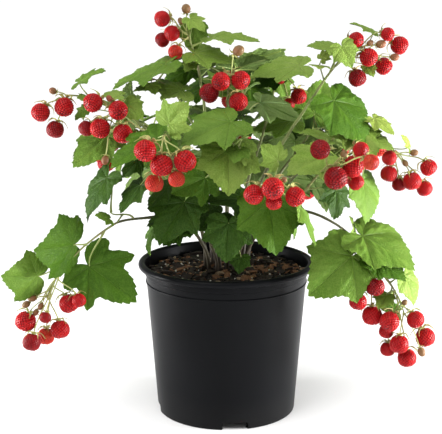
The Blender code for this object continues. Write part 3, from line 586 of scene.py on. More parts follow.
SPRAYS = (
    Spray(
        "spray_low_left_upper", "bough_low_left", seen(-110, 193, -58), 60, along=0.5,
        leaves=(
            Leaf((-113, 226), (-138, 191), 42, 0.95, -4, 25, -60),
        ),
    ),
    Spray(
        "spray_low_left_lower", "bough_low_left", seen(-173, 108, -65), -70,
        leaves=(
            Leaf((-146, 161), (-174, 155), 47, 0.3, 6, 0),
            Leaf((-181, 130), (-210, 129), 38, 0.75, 6, 0),
            Leaf((-131, 140), (-89, 110), 53, 0.5, 8, 35),
        ),
        berries=Cluster(-70, (
            (-161, 77, 9), (-194, 85, 9.7), (-175, 70, 8.2), (-152, 103, 9), (-189, 64, 8.5),
            (-142, 106, 6.5), (-175, 89, 5.5),
        )),
    ),
    Spray(
        "spray_low_right_upper", "bough_low_right", seen(141, 132, -64), -65, along=0.75,
        leaves=(
            Leaf((120, 150), (83, 115), 52, 0.25, 10, 25),
            Leaf((141, 149), (171, 132), 35, 0.55, -6, 74),
            Leaf((123, 168), (121, 188), 21, 0.3, 6, 10, 80),
        ),
        berries=Cluster(-74, ((143, 120, 8.9), (127, 105, 8.2), (141, 91, 9.5))),
    ),
    Spray(
        "spray_low_right_lower", "bough_low_right", seen(172, 92, -62), -75,
        leaves=(
            Leaf((130, 170), (179, 146), 55, 0.1, -8, 72),
            Leaf((171, 131), (183, 106), 28, 0.6, 0, 20, 50),
            Leaf((165, 95), (148, 102), 18, 0.8, 5),
        ),
        berries=Cluster(-70, (
            (168, 62, 9), (158, 85, 9.3), (183, 87, 8.2), (155, 75, 6.9), (193, 69, 9.3),
            (176, 48, 9), (157, 57, 7.2),
        )),
    ),
    Spray(
        "spray_far_left", "cane_left", seen(-150, 304, -25), 0,
        leaves=(
            Leaf((-136, 317), (-113, 330), 27, 0.6, 0, 72),
        ),
        berries=Cluster(-36, ((-151, 293, 9), (-173, 288, 8.7), (-160, 272, 8.3))),
    ),
    Spray(
        "spray_left", "cane_left", seen(-108, 289, -42), -10, along=0.85,
        leaves=(
            Leaf((-112, 266), (-143, 240), 42, 0.6, -10, 55, -20),
            Leaf((-99, 304), (-117, 306), 17, 0.7, 0, 70),
            Leaf((-93, 295), (-78, 284), 20, 0.4, 8, 30),
            Leaf((-132, 290), (-143, 281), 13, 0.95, -6),
        ),
        berries=Cluster(-50, (
            (-118, 273, 9.3), (-101, 290, 8.9), (-124, 297, 8.8), (-97, 268, 9), (-131, 273, 7.3),
        )),
    ),
    Spray(
        "spray_front_left", "cane_front_left", seen(-60, 262, -108), -60,
        leaves=(
            Leaf((-54, 277), (-37, 297), 28, 0.3, 4, 20),
            Leaf((-64, 264), (-109, 246), 48, 0.6, -20, 70),
            Leaf((-81, 219), (-101, 196), 30, 0.2, -10, 30, -62),
            Leaf((-83, 243), (-97, 229), 20, 0.1, -14, 45),
        ),
        berries=Cluster(-112, (
            (-61, 238, 9.9), (-76, 252, 9.7), (-39, 242, 9.8), (-68, 221, 8.2), (-47, 225, 7.3),
        )),
    ),
    Spray(
        "spray_top_left", "cane_top_left", seen(-37, 364, 4), 70,
        leaves=(
            Leaf((-30, 367), (-33, 345), 23, 0.8, -5, 20),
            Leaf((-33, 374), (-20, 364), 18, 0.9, -8, 60),
            Leaf((-11, 357), (30, 358), 42, 0.6, 0, 84),
            Leaf((-29, 343), (8, 338), 38, 0.4, 6, 70),
            Leaf((-36, 341), (-68, 335), 33, 0.15, -8, 86),
            Leaf((-34, 328), (-60, 318), 29, 0.3, -16, 60),
        ),
        berries=Cluster(2, (
            (-37, 383, 4.7), (-50, 361, 7.5), (-59, 374, 7.6), (-47, 344, 7), (-59, 355, 7),
        )),
    ),
    Spray(
        "spray_shoulder_left", "bough_shoulder_left", seen(-74, 320, -4), 5,
        leaves=(
            Leaf((-56, 333), (-106, 316), 53, 0.6, -4, 82),
            Leaf((-42, 309), (-84, 317), 43, 0.3, 12, 75),
        ),
    ),
    Spray(
        "spray_top_centre", "cane_centre", seen(2, 318, -40), 60,
        leaves=(
            Leaf((14, 286), (-24, 290), 38, 0.1, -10, 80),
        ),
        berries=Cluster(-42, (
            (11, 345, 5.3), (13, 318, 8.7), (-5, 317, 8.5), (11, 298, 8.7), (-16, 306, 9),
        )),
    ),
    Spray(
        "spray_centre", "bough_centre_front", seen(5, 260, -78), 20,
        leaves=(
            Leaf((4, 279), (-41, 265), 48, 0.6, 4, 68),
            Leaf((2, 253), (2, 217), 43, 0.6, 6, 40),
            Leaf((-20, 226), (-48, 214), 34, 0.3, 10, 20),
        ),
    ),
    Spray(
        "spray_top_right", "cane_top_right", seen(112, 345, -6), 50,
        leaves=(
            Leaf((134, 363), (114, 372), 22, 0.95, -8, 80),
            Leaf((101, 347), (74, 351), 29, 0.6, 2, 70),
            Leaf((106, 349), (116, 331), 21, 0.7, 8, 35),
            Leaf((130, 331), (136, 323), 12, 0.9, 8),
        ),
        berries=Cluster(-10, (
            (131, 339, 8.6), (119, 355, 7.3), (145, 331, 8.4), (148, 360, 6.5), (159, 350, 8.6),
            (121, 320, 8.4),
        )),
    ),
    Spray(
        "spray_back_centre", "cane_back_centre", seen(51, 328, 66), 60,
        leaves=(
            Leaf((67, 331), (19, 328), 50, 0.6, 4, 74),
            Leaf((46, 324), (26, 314), 25, 0.4, 10, 45),
            Leaf((22, 309), (52, 287), 37, 0.2, 10, 76),
            Leaf((47, 320), (58, 301), 24, 0.3, -10, 55),
            Leaf((62, 281), (22, 276), 42, 0.05, 10, 68),
        ),
        berries=Cluster(40, ((67, 303, 7.9), (58, 296, 6), (50, 318, 4))),
    ),
    Spray(
        "spray_right", "cane_right", seen(115, 287, -24), 40, more=1, size=32,
        leaves=(
            Leaf((100, 299), (135, 263), 51, 0.8, 6, 70),
            Leaf((99, 291), (106, 273), 20, 0.6, 12, 40),
            Leaf((138, 282), (156, 270), 24, 0.9, 0, 84),
            Leaf((99, 262), (70, 274), 33, 0.1, -6, 80),
        ),
    ),
    Spray(
        "spray_far_right", "bough_far_right", seen(163, 249, -18), -30,
        leaves=(
            Leaf((171, 256), (165, 268), 14, 0.95, 0, 10, 75),
            Leaf((136, 263), (156, 255), 22, 0.3, 2, 65),
            Leaf((128, 225), (138, 188), 41, 0.05, 10, 30, 58),
        ),
        berries=Cluster(-20, (
            (153, 230, 8), (153, 245, 7), (175, 223, 8.8), (190, 236, 8), (187, 216, 7.7),
            (163, 220, 7),
        )),
    ),
    Spray(
        "spray_front_right", "cane_front_right", seen(101, 238, -92), 10,
        leaves=(
            Leaf((92, 246), (58, 234), 39, 0.55, 0, 58),
            Leaf((104, 214), (104, 189), 26, 0.3, -6, 45, 45),
        ),
        berries=Cluster(-102, (
            (103, 226, 10.3), (119, 237, 9.8), (136, 241, 7), (88, 253, 8.8), (126, 253, 7),
            (122, 222, 7.3),
        )),
    ),
    Spray(
        "spray_front", "cane_front", seen(47, 222, -106), 0,
        leaves=(
            Leaf((48, 243), (33, 257), 21, 0.75, 0, 15),
            Leaf((40, 205), (47, 158), 48, 0.5, -6, 25),
            Leaf((61, 192), (69, 168), 24, 0.4, -12, 15, 75),
            Leaf((70, 198), (87, 166), 37, 0.6, -8, 15, 75),
        ),
        berries=Cluster(-116, ((45, 203, 7.3), (44, 216, 9.6), (65, 208, 8.8), (26, 210, 8.8))),
    ),
    Spray(
        "spray_low_front_left", "cane_low_front_left", seen(-53, 193, -70), 10,
        leaves=(
            Leaf((-40, 203), (-64, 166), 44, 0.5, 6, 35, -20),
            Leaf((-68, 181), (-77, 154), 28, 0.8, 0, 15, -75),
            Leaf((-5, 192), (-24, 180), 28, 0.1, 0),
            Leaf((-55, 218), (-75, 202), 26, 0.6, -10, 40, -50),
        ),
    ),
    Spray(
        "spray_low_front", "cane_low_front", seen(2, 179, -74), 10,
        leaves=(
            Leaf((18, 205), (-17, 209), 38, 0.6, -4, 60),
            Leaf((2, 182), (0, 148), 35, 0.7, 4, 30),
            Leaf((14, 149), (12, 135), 15, 0.5, 4),
        ),
    ),
    Spray("spray_back_left_upper", "cane_back_left", at(-82, 86, 262), 20, facing=135, more=6, size=42,
          berries=Truss(3, (-92, 100, 246), 14, 40)),
    Spray("spray_back_left_lower", "bough_back_left", at(-60, 126, 228), 0, facing=115, more=6,
          berries=Truss(3, (-64, 140, 210), 13, 110)),
    Spray("spray_back_top", "cane_back", at(2, 98, 316), 50, facing=95, more=6,
          berries=Truss(4, (0, 114, 304), 15, 200)),
    Spray("spray_middle", "bough_middle", at(16, 24, 306), 60, facing=90, more=6, size=46,
          leaves=(Leaf((-20, 312), (-46, 302), 28, 0.6, -10, 62, 180),)),
    Spray("spray_back", "bough_back", at(18, 142, 246), 0, facing=80, more=7,
          berries=Truss(3, (20, 156, 226), 14, 310)),
    Spray("spray_back_right_upper", "cane_back_right", at(94, 84, 262), 20, facing=45, more=6, size=42,
          berries=Truss(3, (106, 96, 248), 14, 75)),
    Spray("spray_back_right_lower", "bough_back_right", at(80, 122, 220), -10, facing=60, more=6, size=46,
          berries=Truss(3, (88, 134, 202), 13, 150)),
    Spray("spray_side_left", "bough_side_left", at(-112, 48, 262), 0, facing=170, more=6, size=36,
          berries=Truss(4, (-122, 50, 244), 12, 250)),
    Spray("spray_side_right", "bough_side_right", at(122, 48, 248), -5, facing=10, more=6, size=34,
          berries=Truss(4, (132, 48, 234), 12, 20)),
)

# Each mass's greens: one for each listed leaf, and then one for the rest
# Dark and deep greens here are partly painted shade on low and hanging leaves, and light greens partly painted
# light on leaves that face the sky.
TONES = {
    "spray_low_left_upper": (Tone.DARK, Tone.DEEP),
    "spray_low_left_lower": (Tone.DEEP, Tone.MID, Tone.DEEP, Tone.DEEP),
    "spray_low_right_upper": (Tone.MID, Tone.DEEP, Tone.LIGHT, Tone.MID),
    "spray_low_right_lower": (Tone.MID, Tone.LIGHT, Tone.DEEP, Tone.MID),
    "spray_far_left": (Tone.MID, Tone.LIGHT),
    "spray_left": (Tone.MID, Tone.LIGHT, Tone.LIGHT, Tone.MID, Tone.MID),
    "spray_front_left": (Tone.LIGHT, Tone.DEEP, Tone.DARK, Tone.DARK, Tone.DEEP),
    "spray_top_left": (
        Tone.MID, Tone.LIGHT, Tone.LIGHT, Tone.LIGHT, Tone.DEEP, Tone.DEEP, Tone.MID,
    ),
    "spray_shoulder_left": (Tone.MID, Tone.LIGHT, Tone.MID),
    "spray_top_centre": (Tone.DARK, Tone.DEEP),
    "spray_centre": (Tone.MID, Tone.LIGHT, Tone.DEEP, Tone.DEEP),
    "spray_top_right": (Tone.LIGHT, Tone.LIGHT, Tone.LIGHT, Tone.LIGHT, Tone.LIGHT),
    "spray_back_centre": (Tone.LIGHT, Tone.DARK, Tone.DEEP, Tone.MID, Tone.MID, Tone.DEEP),
    "spray_right": (Tone.DEEP, Tone.LIGHT, Tone.YOUNG, Tone.LIGHT, Tone.MID),
    "spray_far_right": (Tone.YOUNG, Tone.LIGHT, Tone.MID, Tone.MID),
    "spray_front_right": (Tone.LIGHT, Tone.DARK, Tone.MID),
    "spray_front": (Tone.LIGHT, Tone.DEEP, Tone.MID, Tone.MID, Tone.DEEP),
    "spray_low_front_left": (Tone.DARK, Tone.DEEP, Tone.DARK, Tone.DARK, Tone.DARK),
    "spray_low_front": (Tone.DARK, Tone.DARK, Tone.DARK, Tone.DARK),
    "spray_back_left_upper": (Tone.MID,),
    "spray_back_left_lower": (Tone.DEEP,),
    "spray_back_top": (Tone.LIGHT,),
    "spray_middle": (Tone.DEEP, Tone.DEEP),
    "spray_back": (Tone.MID,),
    "spray_back_right_upper": (Tone.MID,),
    "spray_back_right_lower": (Tone.DEEP,),
    "spray_side_left": (Tone.MID,),
    "spray_side_right": (Tone.LIGHT,),
}

# The berries that aren't ripe red, by their number in the mass
UNLIKE = {
    "spray_low_left_lower": {2: Ripeness.TURNING, 4: Ripeness.DARK, 6: Ripeness.DARK},
    "spray_low_right_upper": {0: Ripeness.DARK},
    "spray_far_left": {2: Ripeness.DARK},
    "spray_left": {4: Ripeness.DARK},
    "spray_front_left": {3: Ripeness.TURNING, 4: Ripeness.TURNING},
    "spray_top_left": {0: Ripeness.BUD, 3: Ripeness.TURNING, 4: Ripeness.DARK},
    "spray_top_centre": {0: Ripeness.BUD, 4: Ripeness.DARK},
    "spray_top_right": {5: Ripeness.DARK},
    "spray_far_right": {5: Ripeness.DARK},
    "spray_front_right": {0: Ripeness.DARK, 2: Ripeness.TURNING, 3: Ripeness.DARK},
    "spray_back_left_upper": {1: Ripeness.DARK},
    "spray_back_top": {2: Ripeness.TURNING},
    "spray_back": {0: Ripeness.DARK},
    "spray_side_left": {1: Ripeness.DARK},
    "spray_side_right": {3: Ripeness.TURNING},
}

# Buds listed one by one: places in the front view, with a radius each
BUDS = {
    "spray_low_left_lower": ((-187, 108, 3.5), (-193, 102, 3.5), (-179, 100, 3), (-184, 94, 3)),
    "spray_low_right_lower": ((190, 54, 4), (172, 104, 3)),
    "spray_far_left": ((-161, 308, 3.5), (-152, 277, 4)),
    "spray_left": ((-105, 277, 4), (-114, 243, 3.8), (-109, 301, 3)),
    "spray_front_left": ((-74, 234, 3.5), (-52, 229, 3)),
    "spray_top_left": ((-29, 363, 4.2), (-31, 332, 3.6), (-42, 372, 3)),
    "spray_centre": ((20, 264, 3.5),),
    "spray_top_right": ((142, 351, 4.2), (140, 362, 2.6), (155, 339, 3.8), (132, 352, 3)),
    "spray_far_right": ((176, 250, 3.5), (168, 240, 3)),
    "spray_front_right": ((110, 249, 3.2),),
    "spray_front": ((54, 224, 3),),
}


def heading_of(bearing: float, pitch: float) -> Vector:
    """The unit vector at a bearing about Z, counted from +X, and a pitch above the horizontal."""
    bearing, pitch = math.radians(bearing), math.radians(pitch)
    level = math.cos(pitch)
    return Vector((math.cos(bearing) * level, math.sin(bearing) * level, math.sin(pitch)))


def mixed(weights: Sequence[float], headings: Sequence[Vector]) -> Vector:
    """The unit vector of a weighted sum of headings."""
    return sum((heading * weight for weight, heading in zip(weights, headings)), Vector()).normalized()


def spread_between(ends: Sequence[float], step: float) -> float:
    """A share between two ends that never repeats from one step to the next."""
    return ends[0] + (ends[1] - ends[0]) * (step % 1)


def view_axes(facing: float) -> tuple[Vector, Vector]:
    """A spray's own right and the way it faces, from a bearing about Z."""
    toward = heading_of(facing, 0)
    return UP.cross(toward), toward


def box_of(mesh: bmesh.types.BMesh) -> tuple[list[float], list[float]]:
    """A mesh's lowest and highest corners."""
    columns = list(zip(*(vert.co for vert in mesh.verts)))
    return [min(column) for column in columns], [max(column) for column in columns]


class Path:
    """A limb's centre line: a cubic curve with a radius at each end."""

    leave_pull = 0.38
    arrive_pull = 0.3

    def __init__(
        self, start: Vector, leaving: Vector, tip: Vector, arriving: Vector, radii: tuple[float, float]
    ) -> None:
        """Lays the curve.

        Args:
            start: Its start.
            leaving: Its heading there.
            tip: Its end.
            arriving: Its heading there.
            radii: The limb's radius at each end.
        """
        span = (tip - start).length
        first = start + leaving * span * self.leave_pull
        last = tip - arriving * span * self.arrive_pull
        self.points = (start, first, last, tip)
        self.radii = radii

    def at(self, t: float) -> Vector:
        """The place at a share of the way."""
        a, b, c, d = self.points
        s = 1 - t
        return a * s**3 + b * (3 * s * s * t) + c * (3 * s * t * t) + d * t**3

    def heading(self, t: float) -> Vector:
        """The heading at a share of the way."""
        a, b, c, d = self.points
        s = 1 - t
        return ((b - a) * (s * s) + (c - b) * (2 * s * t) + (d - c) * (t * t)).normalized()

    def radius(self, t: float) -> float:
        """The limb's radius at a share of the way."""
        return self.radii[0] + (self.radii[1] - self.radii[0]) * t

    def length(self, steps: int = 12) -> float:
        """The length, measured in straight steps."""
        places = [self.at(step / steps) for step in range(steps + 1)]
        return sum((b - a).length for a, b in zip(places, places[1:]))

    def on_tube(self, t: float, steps: int) -> Vector:
        """The place along the middle of a tube swept in straight steps."""
        step = min(int(t * steps), steps - 1)
        return self.at(step / steps).lerp(self.at((step + 1) / steps), t * steps - step)

    def rings(self, steps: int) -> Iterator["Ring"]:
        """Places, turns and radii spaced along the path, turned only as it bends."""
        ahead = self.heading(0)
        turn = ahead.to_track_quat("Z", "Y")
        for step in range(steps + 1):
            t = step / steps
            heading = self.heading(t)
            turn = ahead.rotation_difference(heading) @ turn
            ahead = heading
            yield Ring(self.at(t), turn, self.radius(t))


class Ring(NamedTuple):
    """One ring of a swept tube."""

    place: Vector
    turn: Quaternion
    radius: float


def swept(rings: Sequence[Ring], sides: int) -> bmesh.types.BMesh:
    """A closed body swept through rings, with square ends.

    Args:
        rings: The rings in order.
        sides: The body's sides.

    Returns:
        The mesh.
    """
    mesh = bmesh.new()
    place, turn, radius = rings[0]
    ring = Matrix.LocRotScale(place, turn, None)
    bmesh.ops.create_circle(mesh, cap_ends=True, segments=sides, radius=radius, matrix=ring)
    first = end = mesh.faces[:]
    for place, turn, next_radius in rings[1:]:
        grown = bmesh.ops.extrude_face_region(mesh, geom=end)["geom"]
        if end is not first:
            bmesh.ops.delete(mesh, geom=end, context="FACES_ONLY")
        end = [part for part in grown if isinstance(part, bmesh.types.BMFace)]
        moved = [part for part in grown if isinstance(part, bmesh.types.BMVert)]
        after = Matrix.LocRotScale(place, turn, None)
        growth = Matrix.Scale(next_radius / radius, 4)
        bmesh.ops.transform(mesh, matrix=after @ growth @ ring.inverted(), verts=moved)
        ring, radius = after, next_radius
    bmesh.ops.recalc_face_normals(mesh, faces=mesh.faces)
    return mesh


class Space:
    """What is already taken: a search tree and a box for each placed piece."""

    clearance = 0.6 * MM  # kept round a new leaf or berry

    def __init__(self) -> None:
        """Starts with nothing taken."""
        self.taken: list[tuple[BVHTree, list[float], list[float], str]] = []

    def add(self, mesh: bmesh.types.BMesh, owner: str) -> None:
        """Takes a piece's space for an owner."""
        low, high = box_of(mesh)
        self.taken.append((BVHTree.FromBMesh(mesh), low, high, owner))

    def is_free(self, mesh: bmesh.types.BMesh, besides: Sequence[str] = ()) -> bool:
        """Whether a piece, grown by the clearance, meets nothing but the owners named."""
        swollen = mesh.copy()
        swollen.normal_update()
        for vert in swollen.verts:
            vert.co += vert.normal * self.clearance
        low, high = box_of(swollen)
        tree = BVHTree.FromBMesh(swollen)
        swollen.free()
        for other, other_low, other_high, owner in self.taken:
            apart = any(low[i] > other_high[i] or high[i] < other_low[i] for i in range(3))
            if not apart and owner not in besides and tree.overlap(other):
                return False
        return True


class GrownLeaf(NamedTuple):
    """A leaf that found its place: its mass, its petiole, its blade's frame and size."""

    mass: str
    number: int
    petiole: Path
    blade: Matrix
    size: float
    is_pinned: bool


class GrownBerry(NamedTuple):
    """A berry that found its place: its mass, its stalk, its middle, its hang and its radius."""

    mass: str
    number: int
    stalk: Path
    middle: Vector
    down: Vector
    radius: float


@dataclass
class Growth:
    """The plant's plain shape: limbs, stems, berries and leaves grown into free space in turn."""

    crown_level: float = 139 * MM
    cane_sides: int = 5
    cane_steps: int = 6
    bough_steps: int = 4
    twig_sides: int = 3
    twig_steps: int = 5
    cane_taper: float = 0.68
    bough_taper: float = 0.75
    twig_taper: float = 0.6
    side_stem: float = 0.8
    fork_spread: float = 0.9
    petiole_radius: float = 0.75 * MM
    petiole_steps: int = 1
    petiole_clearance: float = 0.35
    pedicel_radius: float = 0.6 * MM
    thickness: float = 0.024
    heart: float = 0.3
    half_outline: tuple[Triple, ...] = (
        (0.38, -0.16, -0.07),
        (0.44, 0.12, -0.01),
        (0.6, 0.41, -0.08),
        (0.38, 0.58, -0.01),
    )
    tip: Triple = (0.0, 1.0, -0.14)
    berry_radius: float = 8.9 * MM
    berry_sizes: tuple[float, float] = (0.9, 1.1)
    berry_top: float = 0.9
    berry_section: tuple[tuple[float, float], ...] = ((0.2, 0.84), (1.15, 1.04), (1.8, 0.45))
    fruit_sides: int = 5
    last_stalk: float = 0.97
    stalk_spacing: float = 0.045
    stalk_rise: float = 0.3
    spiral_start: float = 0.6
    truss_depth: float = 0.45
    fruit_shifts: tuple[float, ...] = (0, -5, 5, -10, 10, -15, 15, -20, 20)
    leaf_tilts: tuple[float, ...] = (0, 10, -10, 20, -20, 30, -30)
    leaf_shifts: tuple[float, ...] = (0, -6, -12, 8, -18, -24, 16)
    leaf_slides: tuple[float, ...] = (0, 0.2, 0.4, 0.6)
    slide_cost: float = 25
    hang_mix: Triple = (0.7, 0.2, -0.5)
    reach_mix: tuple[float, ...] = (1, 0.35, 0.35, 0.15)
    point_mix: tuple[float, ...] = (1, 0.2, 0.5, -0.45)
    more_span: tuple[float, float] = (0.15, 0.9)
    more_sizes: tuple[float, float] = (0.85, 1.15)
    more_reach: float = 0.45
    more_turn: float = 50
    more_step: float = 0.37
    more_face: float = 62
    space: Space = field(default_factory=Space)
    limbs: dict[str, Path] = field(default_factory=dict)
    stems: dict[str, Path] = field(default_factory=dict)
    leaves: list[GrownLeaf] = field(default_factory=list)
    berries: list[GrownBerry] = field(default_factory=list)
    twigs: list[Path] = field(default_factory=list)
    limits: Optional[tuple[Vector, Vector]] = None

    def __post_init__(self) -> None:
        """Orders the changes that a leaf tries, the least one first."""
        self.tries = sorted(
            product(self.leaf_tilts, self.leaf_shifts, self.leaf_slides),
            key=lambda change: math.hypot(change[0], change[1], change[2] * self.slide_cost),
        )

    def grow(self) -> None:
        """Grows everything, one kind after another."""
        self.grow_limbs()
        self.grow_stems()
        self.grow_fruit()
        self.grow_leaves()
        self.grow_more_leaves()

    def tube(self, path: Path, sides: int, steps: int) -> bmesh.types.BMesh:
        """A closed tapering tube along a path."""
        return swept(list(path.rings(steps)), sides)

    def limb_path(
        self,
        carrier: Optional[Path],
        place: float,
        tip: Vector,
        pitch: float,
        radius: float,
        taper: float,
    ) -> Path:
        """The path of a limb from its carrier, or from the soil, to its tip.

        Args:
            carrier: The limb that carries it, or none for a cane.
            place: The share of the way along the carrier, or a cane's millimetres from the middle.
            tip: Its tip.
            pitch: Its slope there.
            radius: Its radius at the foot.
            taper: The share of that radius that is left at the tip.

        Returns:
            The path.
        """
        if carrier is None:
            side = Vector((tip.x, tip.y, 0)).normalized()
            start, leaving = side * (place * MM) + UP * (self.crown_level + GAP), UP
        elif place == 1:
            leaving = carrier.heading(1)
            start = carrier.at(1) + leaving * GAP
        else:
            start, leaving = self.side_start(carrier, place, tip, radius)
        run = tip - start
        bearing = math.degrees(math.atan2(run.y, run.x))
        return Path(start, leaving, tip, heading_of(bearing, pitch), (radius, radius * taper))

    def side_start(
        self, carrier: Path, along: float, tip: Vector, radius: float
    ) -> tuple[Vector, Vector]:
        """The start of a side limb, clear of its carrier, and the heading that it leaves by."""
        root = carrier.at(along)
        axis = carrier.heading(along)
        towards = tip - root
        across = (towards - axis * towards.dot(axis)).normalized()
        leaving = (axis * (1 - self.fork_spread / 2) + across * self.fork_spread).normalized()
        sine = leaving.dot(across)
        cosine = leaving.dot(axis)
        away = (carrier.radius(along) + GAP + radius * cosine) / sine
        return root + leaving * away, leaving

    def grow_limbs(self) -> None:
        """Grows the canes and boughs."""
        for limb in LIMBS:
            carrier = self.limbs.get(limb.carrier)
            taper = self.cane_taper if carrier is None else self.bough_taper
            steps = self.cane_steps if carrier is None else self.bough_steps
            radius = limb.width / 2 * MM
            path = self.limb_path(carrier, limb.place, limb.tip, limb.pitch, radius, taper)
            self.limbs[limb.name] = path
            self.space.add(self.tube(path, self.cane_sides, steps), limb.name)

    def grow_stems(self) -> None:
        """Grows each mass's stem."""
        for spray in SPRAYS:
            carrier = self.limbs[spray.carrier]
            radius = carrier.radius(spray.along) * (1 if spray.along == 1 else self.side_stem)
            path = self.limb_path(
                carrier, spray.along, spray.tip, spray.pitch, radius, self.twig_taper
            )
            self.stems[spray.name] = path
            self.space.add(self.tube(path, self.twig_sides, self.twig_steps), spray.name)

    def grow_fruit(self) -> None:
        """Hangs each mass's berries, each on its pedicel from the stem's end."""
        for spray in SPRAYS:
            toward = view_axes(spray.facing)[1]
            stem = self.stems[spray.name]
            for number, (middle, radius, ahead) in enumerate(self.berries_of(spray)):
                node = stem.on_tube(self.last_stalk - self.stalk_spacing * number, self.twig_steps)
                for shift in self.fruit_shifts:
                    moved = middle + ahead * (shift * MM)
                    if self.add_berry(spray, number, node, moved, toward, radius):
                        break

    def berries_of(self, spray: Spray) -> Iterator[tuple[Vector, float, Vector]]:
        """Each berry's middle, its radius and the heading that it is shifted along."""
        if isinstance(spray.berries, Cluster):
            for across, up, radius in spray.berries.places:
                middle = seen(across, up, spray.berries.depth)
                yield middle, radius * MM, (EYE - middle).normalized()
        elif spray.berries:
            yield from self.spiralled(spray.berries, *view_axes(spray.facing))

    def spiralled(
        self, truss: Truss, right: Vector, toward: Vector
    ) -> Iterator[tuple[Vector, float, Vector]]:
        """Berries on a sunflower's spiral in the plane that a spray faces, some ahead of others."""
        spiral = []
        for i in range(truss.count):
            angle = math.radians(truss.start + GOLDEN_ANGLE * i)
            around = Vector((math.cos(angle), math.sin(angle)))
            spiral.append(around * math.sqrt(i + self.spiral_start))
        centre = sum(spiral, Vector((0, 0))) / truss.count
        mean = math.sqrt(sum((place - centre).length_squared for place in spiral) / truss.count)
        for i, place in enumerate(spiral):
            offset = (place - centre) * (truss.spread * MM / mean)
            swing = math.cos(math.radians(GOLDEN_ANGLE * 2 * i))
            depth = truss.spread * MM * self.truss_depth * swing
            middle = at(*truss.middle) + right * offset.x + UP * offset.y + toward * depth
            step = i * GOLDEN_SHARE + truss.start / 90
            yield middle, self.berry_radius * spread_between(self.berry_sizes[::-1], step), toward

    def add_berry(
        self, spray: Spray, number: int, node: Vector, middle: Vector, toward: Vector, radius: float
    ) -> bool:
        """Hangs one berry on its stalk where both are free.

        Args:
            spray: Its mass.
            number: Its number in the truss.
            node: The stalk's root.
            middle: The berry's middle.
            toward: The way that the mass faces.
            radius: The berry's radius.

        Returns:
            Whether it was free.
        """
        down = mixed(self.hang_mix, ((middle - node).normalized(), toward, UP))
        top = middle - down * (radius * self.berry_top)
        leaving = (down + UP * self.stalk_rise).normalized()
        stalk = Path(node, leaving, top, down, (self.pedicel_radius, self.pedicel_radius))
        rings = list(stalk.rings(1))
        turn = rings[-1].turn
        for depth, share in self.berry_section:
            rings.append(Ring(top + down * (depth * radius), turn, share * radius))
        stem, fruit = swept(rings[:2], self.fruit_sides), swept(rings[1:], self.fruit_sides)
        own_stalks = spray.name + " stalk"
        if not self.space.is_free(fruit):
            return False
        if not self.space.is_free(stem, (spray.name, own_stalks)):
            return False
        self.space.add(fruit, spray.name + " fruit")
        self.space.add(stem, own_stalks)
        self.berries.append(GrownBerry(spray.name, number, stalk, middle, down, radius))
        return True

    def grow_leaves(self) -> None:
        """Grows the listed leaves."""
        for spray in SPRAYS:
            stem = self.stems[spray.name]
            for number, leaf in enumerate(spray.leaves):
                root = stem.on_tube(leaf.along, self.twig_steps)
                depth = root.y / MM - leaf.ahead
                foot = seen(*leaf.foot, depth)
                ahead = (EYE - foot).normalized()
                flat = seen(*leaf.tip, depth) - foot
                size = leaf.size * MM
                lean = math.sqrt(max(0, size**2 - flat.length_squared))
                point = (flat + ahead * lean).normalized()
                light = heading_of(spray.facing + leaf.turn, leaf.face)
                self.add_leaf(
                    spray, stem, number, leaf.along, foot, point, size, light, ahead, True
                )

    def grow_more_leaves(self) -> None:
        """Grows the further leaves of each mass by the spiral rule."""
        for number, spray in enumerate(SPRAYS):
            stem = self.stems[spray.name]
            toward = view_axes(spray.facing)[1]
            light = heading_of(spray.facing, self.more_face)
            for i in range(spray.more):
                along = spread_between(self.more_span, (i + 0.5) / spray.more)
                axis = stem.heading(along)
                across = axis.orthogonal().normalized()
                turn = math.radians(GOLDEN_ANGLE * i + self.more_turn * number)
                across = Quaternion(axis, turn) @ across
                headings = (across, axis, toward, UP)
                step = i * GOLDEN_SHARE + number * self.more_step
                size = spray.size * MM * spread_between(self.more_sizes, step)
                reach = mixed(self.reach_mix, headings) * size * self.more_reach
                foot = stem.on_tube(along, self.twig_steps) + reach
                point = mixed(self.point_mix, headings)
                self.add_leaf(spray, stem, i, along, foot, point, size, light, toward)

    def add_leaf(
        self,
        spray: Spray,
        stem: Path,
        number: int,
        along: float,
        foot: Vector,
        point: Vector,
        size: float,
        light: Vector,
        ahead: Vector,
        is_pinned: bool = False,
        tries: Optional[int] = None,
    ) -> bool:
        """One leaf on its petiole, tilted or shifted until it is free, or skipped.

        Args:
            spray: Its mass.
            stem: The stem or twig that carries it.
            number: Its number.
            along: Its place on that.
            foot: The blade's foot.
            point: The way that the blade points.
            size: The blade's length.
            light: The heading that the blade faces.
            ahead: The heading that its foot is shifted along.
            is_pinned: Whether it was listed.
            tries: How many changes it may try, or all.

        Returns:
            Whether it found a place.
        """
        right = view_axes(spray.facing)[0]
        for tilt, shift, slide in self.tries[:tries]:
            if slide > along:
                continue
            pointing = Quaternion(right, math.radians(tilt)) @ point
            root = stem.on_tube(along - slide, self.twig_steps)
            moved = foot + ahead * (shift * MM)
            normal = (light - pointing * light.dot(pointing)).normalized()
            blade = Matrix((pointing.cross(normal), pointing, normal)).transposed().to_4x4()
            back = blade.inverted().to_3x3() @ (root - moved).normalized()
            if back.y > -abs(back.x) / 2 and abs(back.z) < self.petiole_clearance:
                continue
            blade.translation = moved
            leaving = (moved - root).normalized()
            arriving = (pointing + leaving).normalized()
            radii = (self.petiole_radius, self.petiole_radius)
            path = Path(root, leaving, moved, arriving, radii)
            plain = self.plain_leaf(path, blade, size)
            if self.is_within(plain) and self.space.is_free(plain, (spray.name,)):
                self.space.add(plain, spray.name + " leaf")
                self.leaves.append(GrownLeaf(spray.name, number, path, blade, size, is_pinned))
                return True
        return False

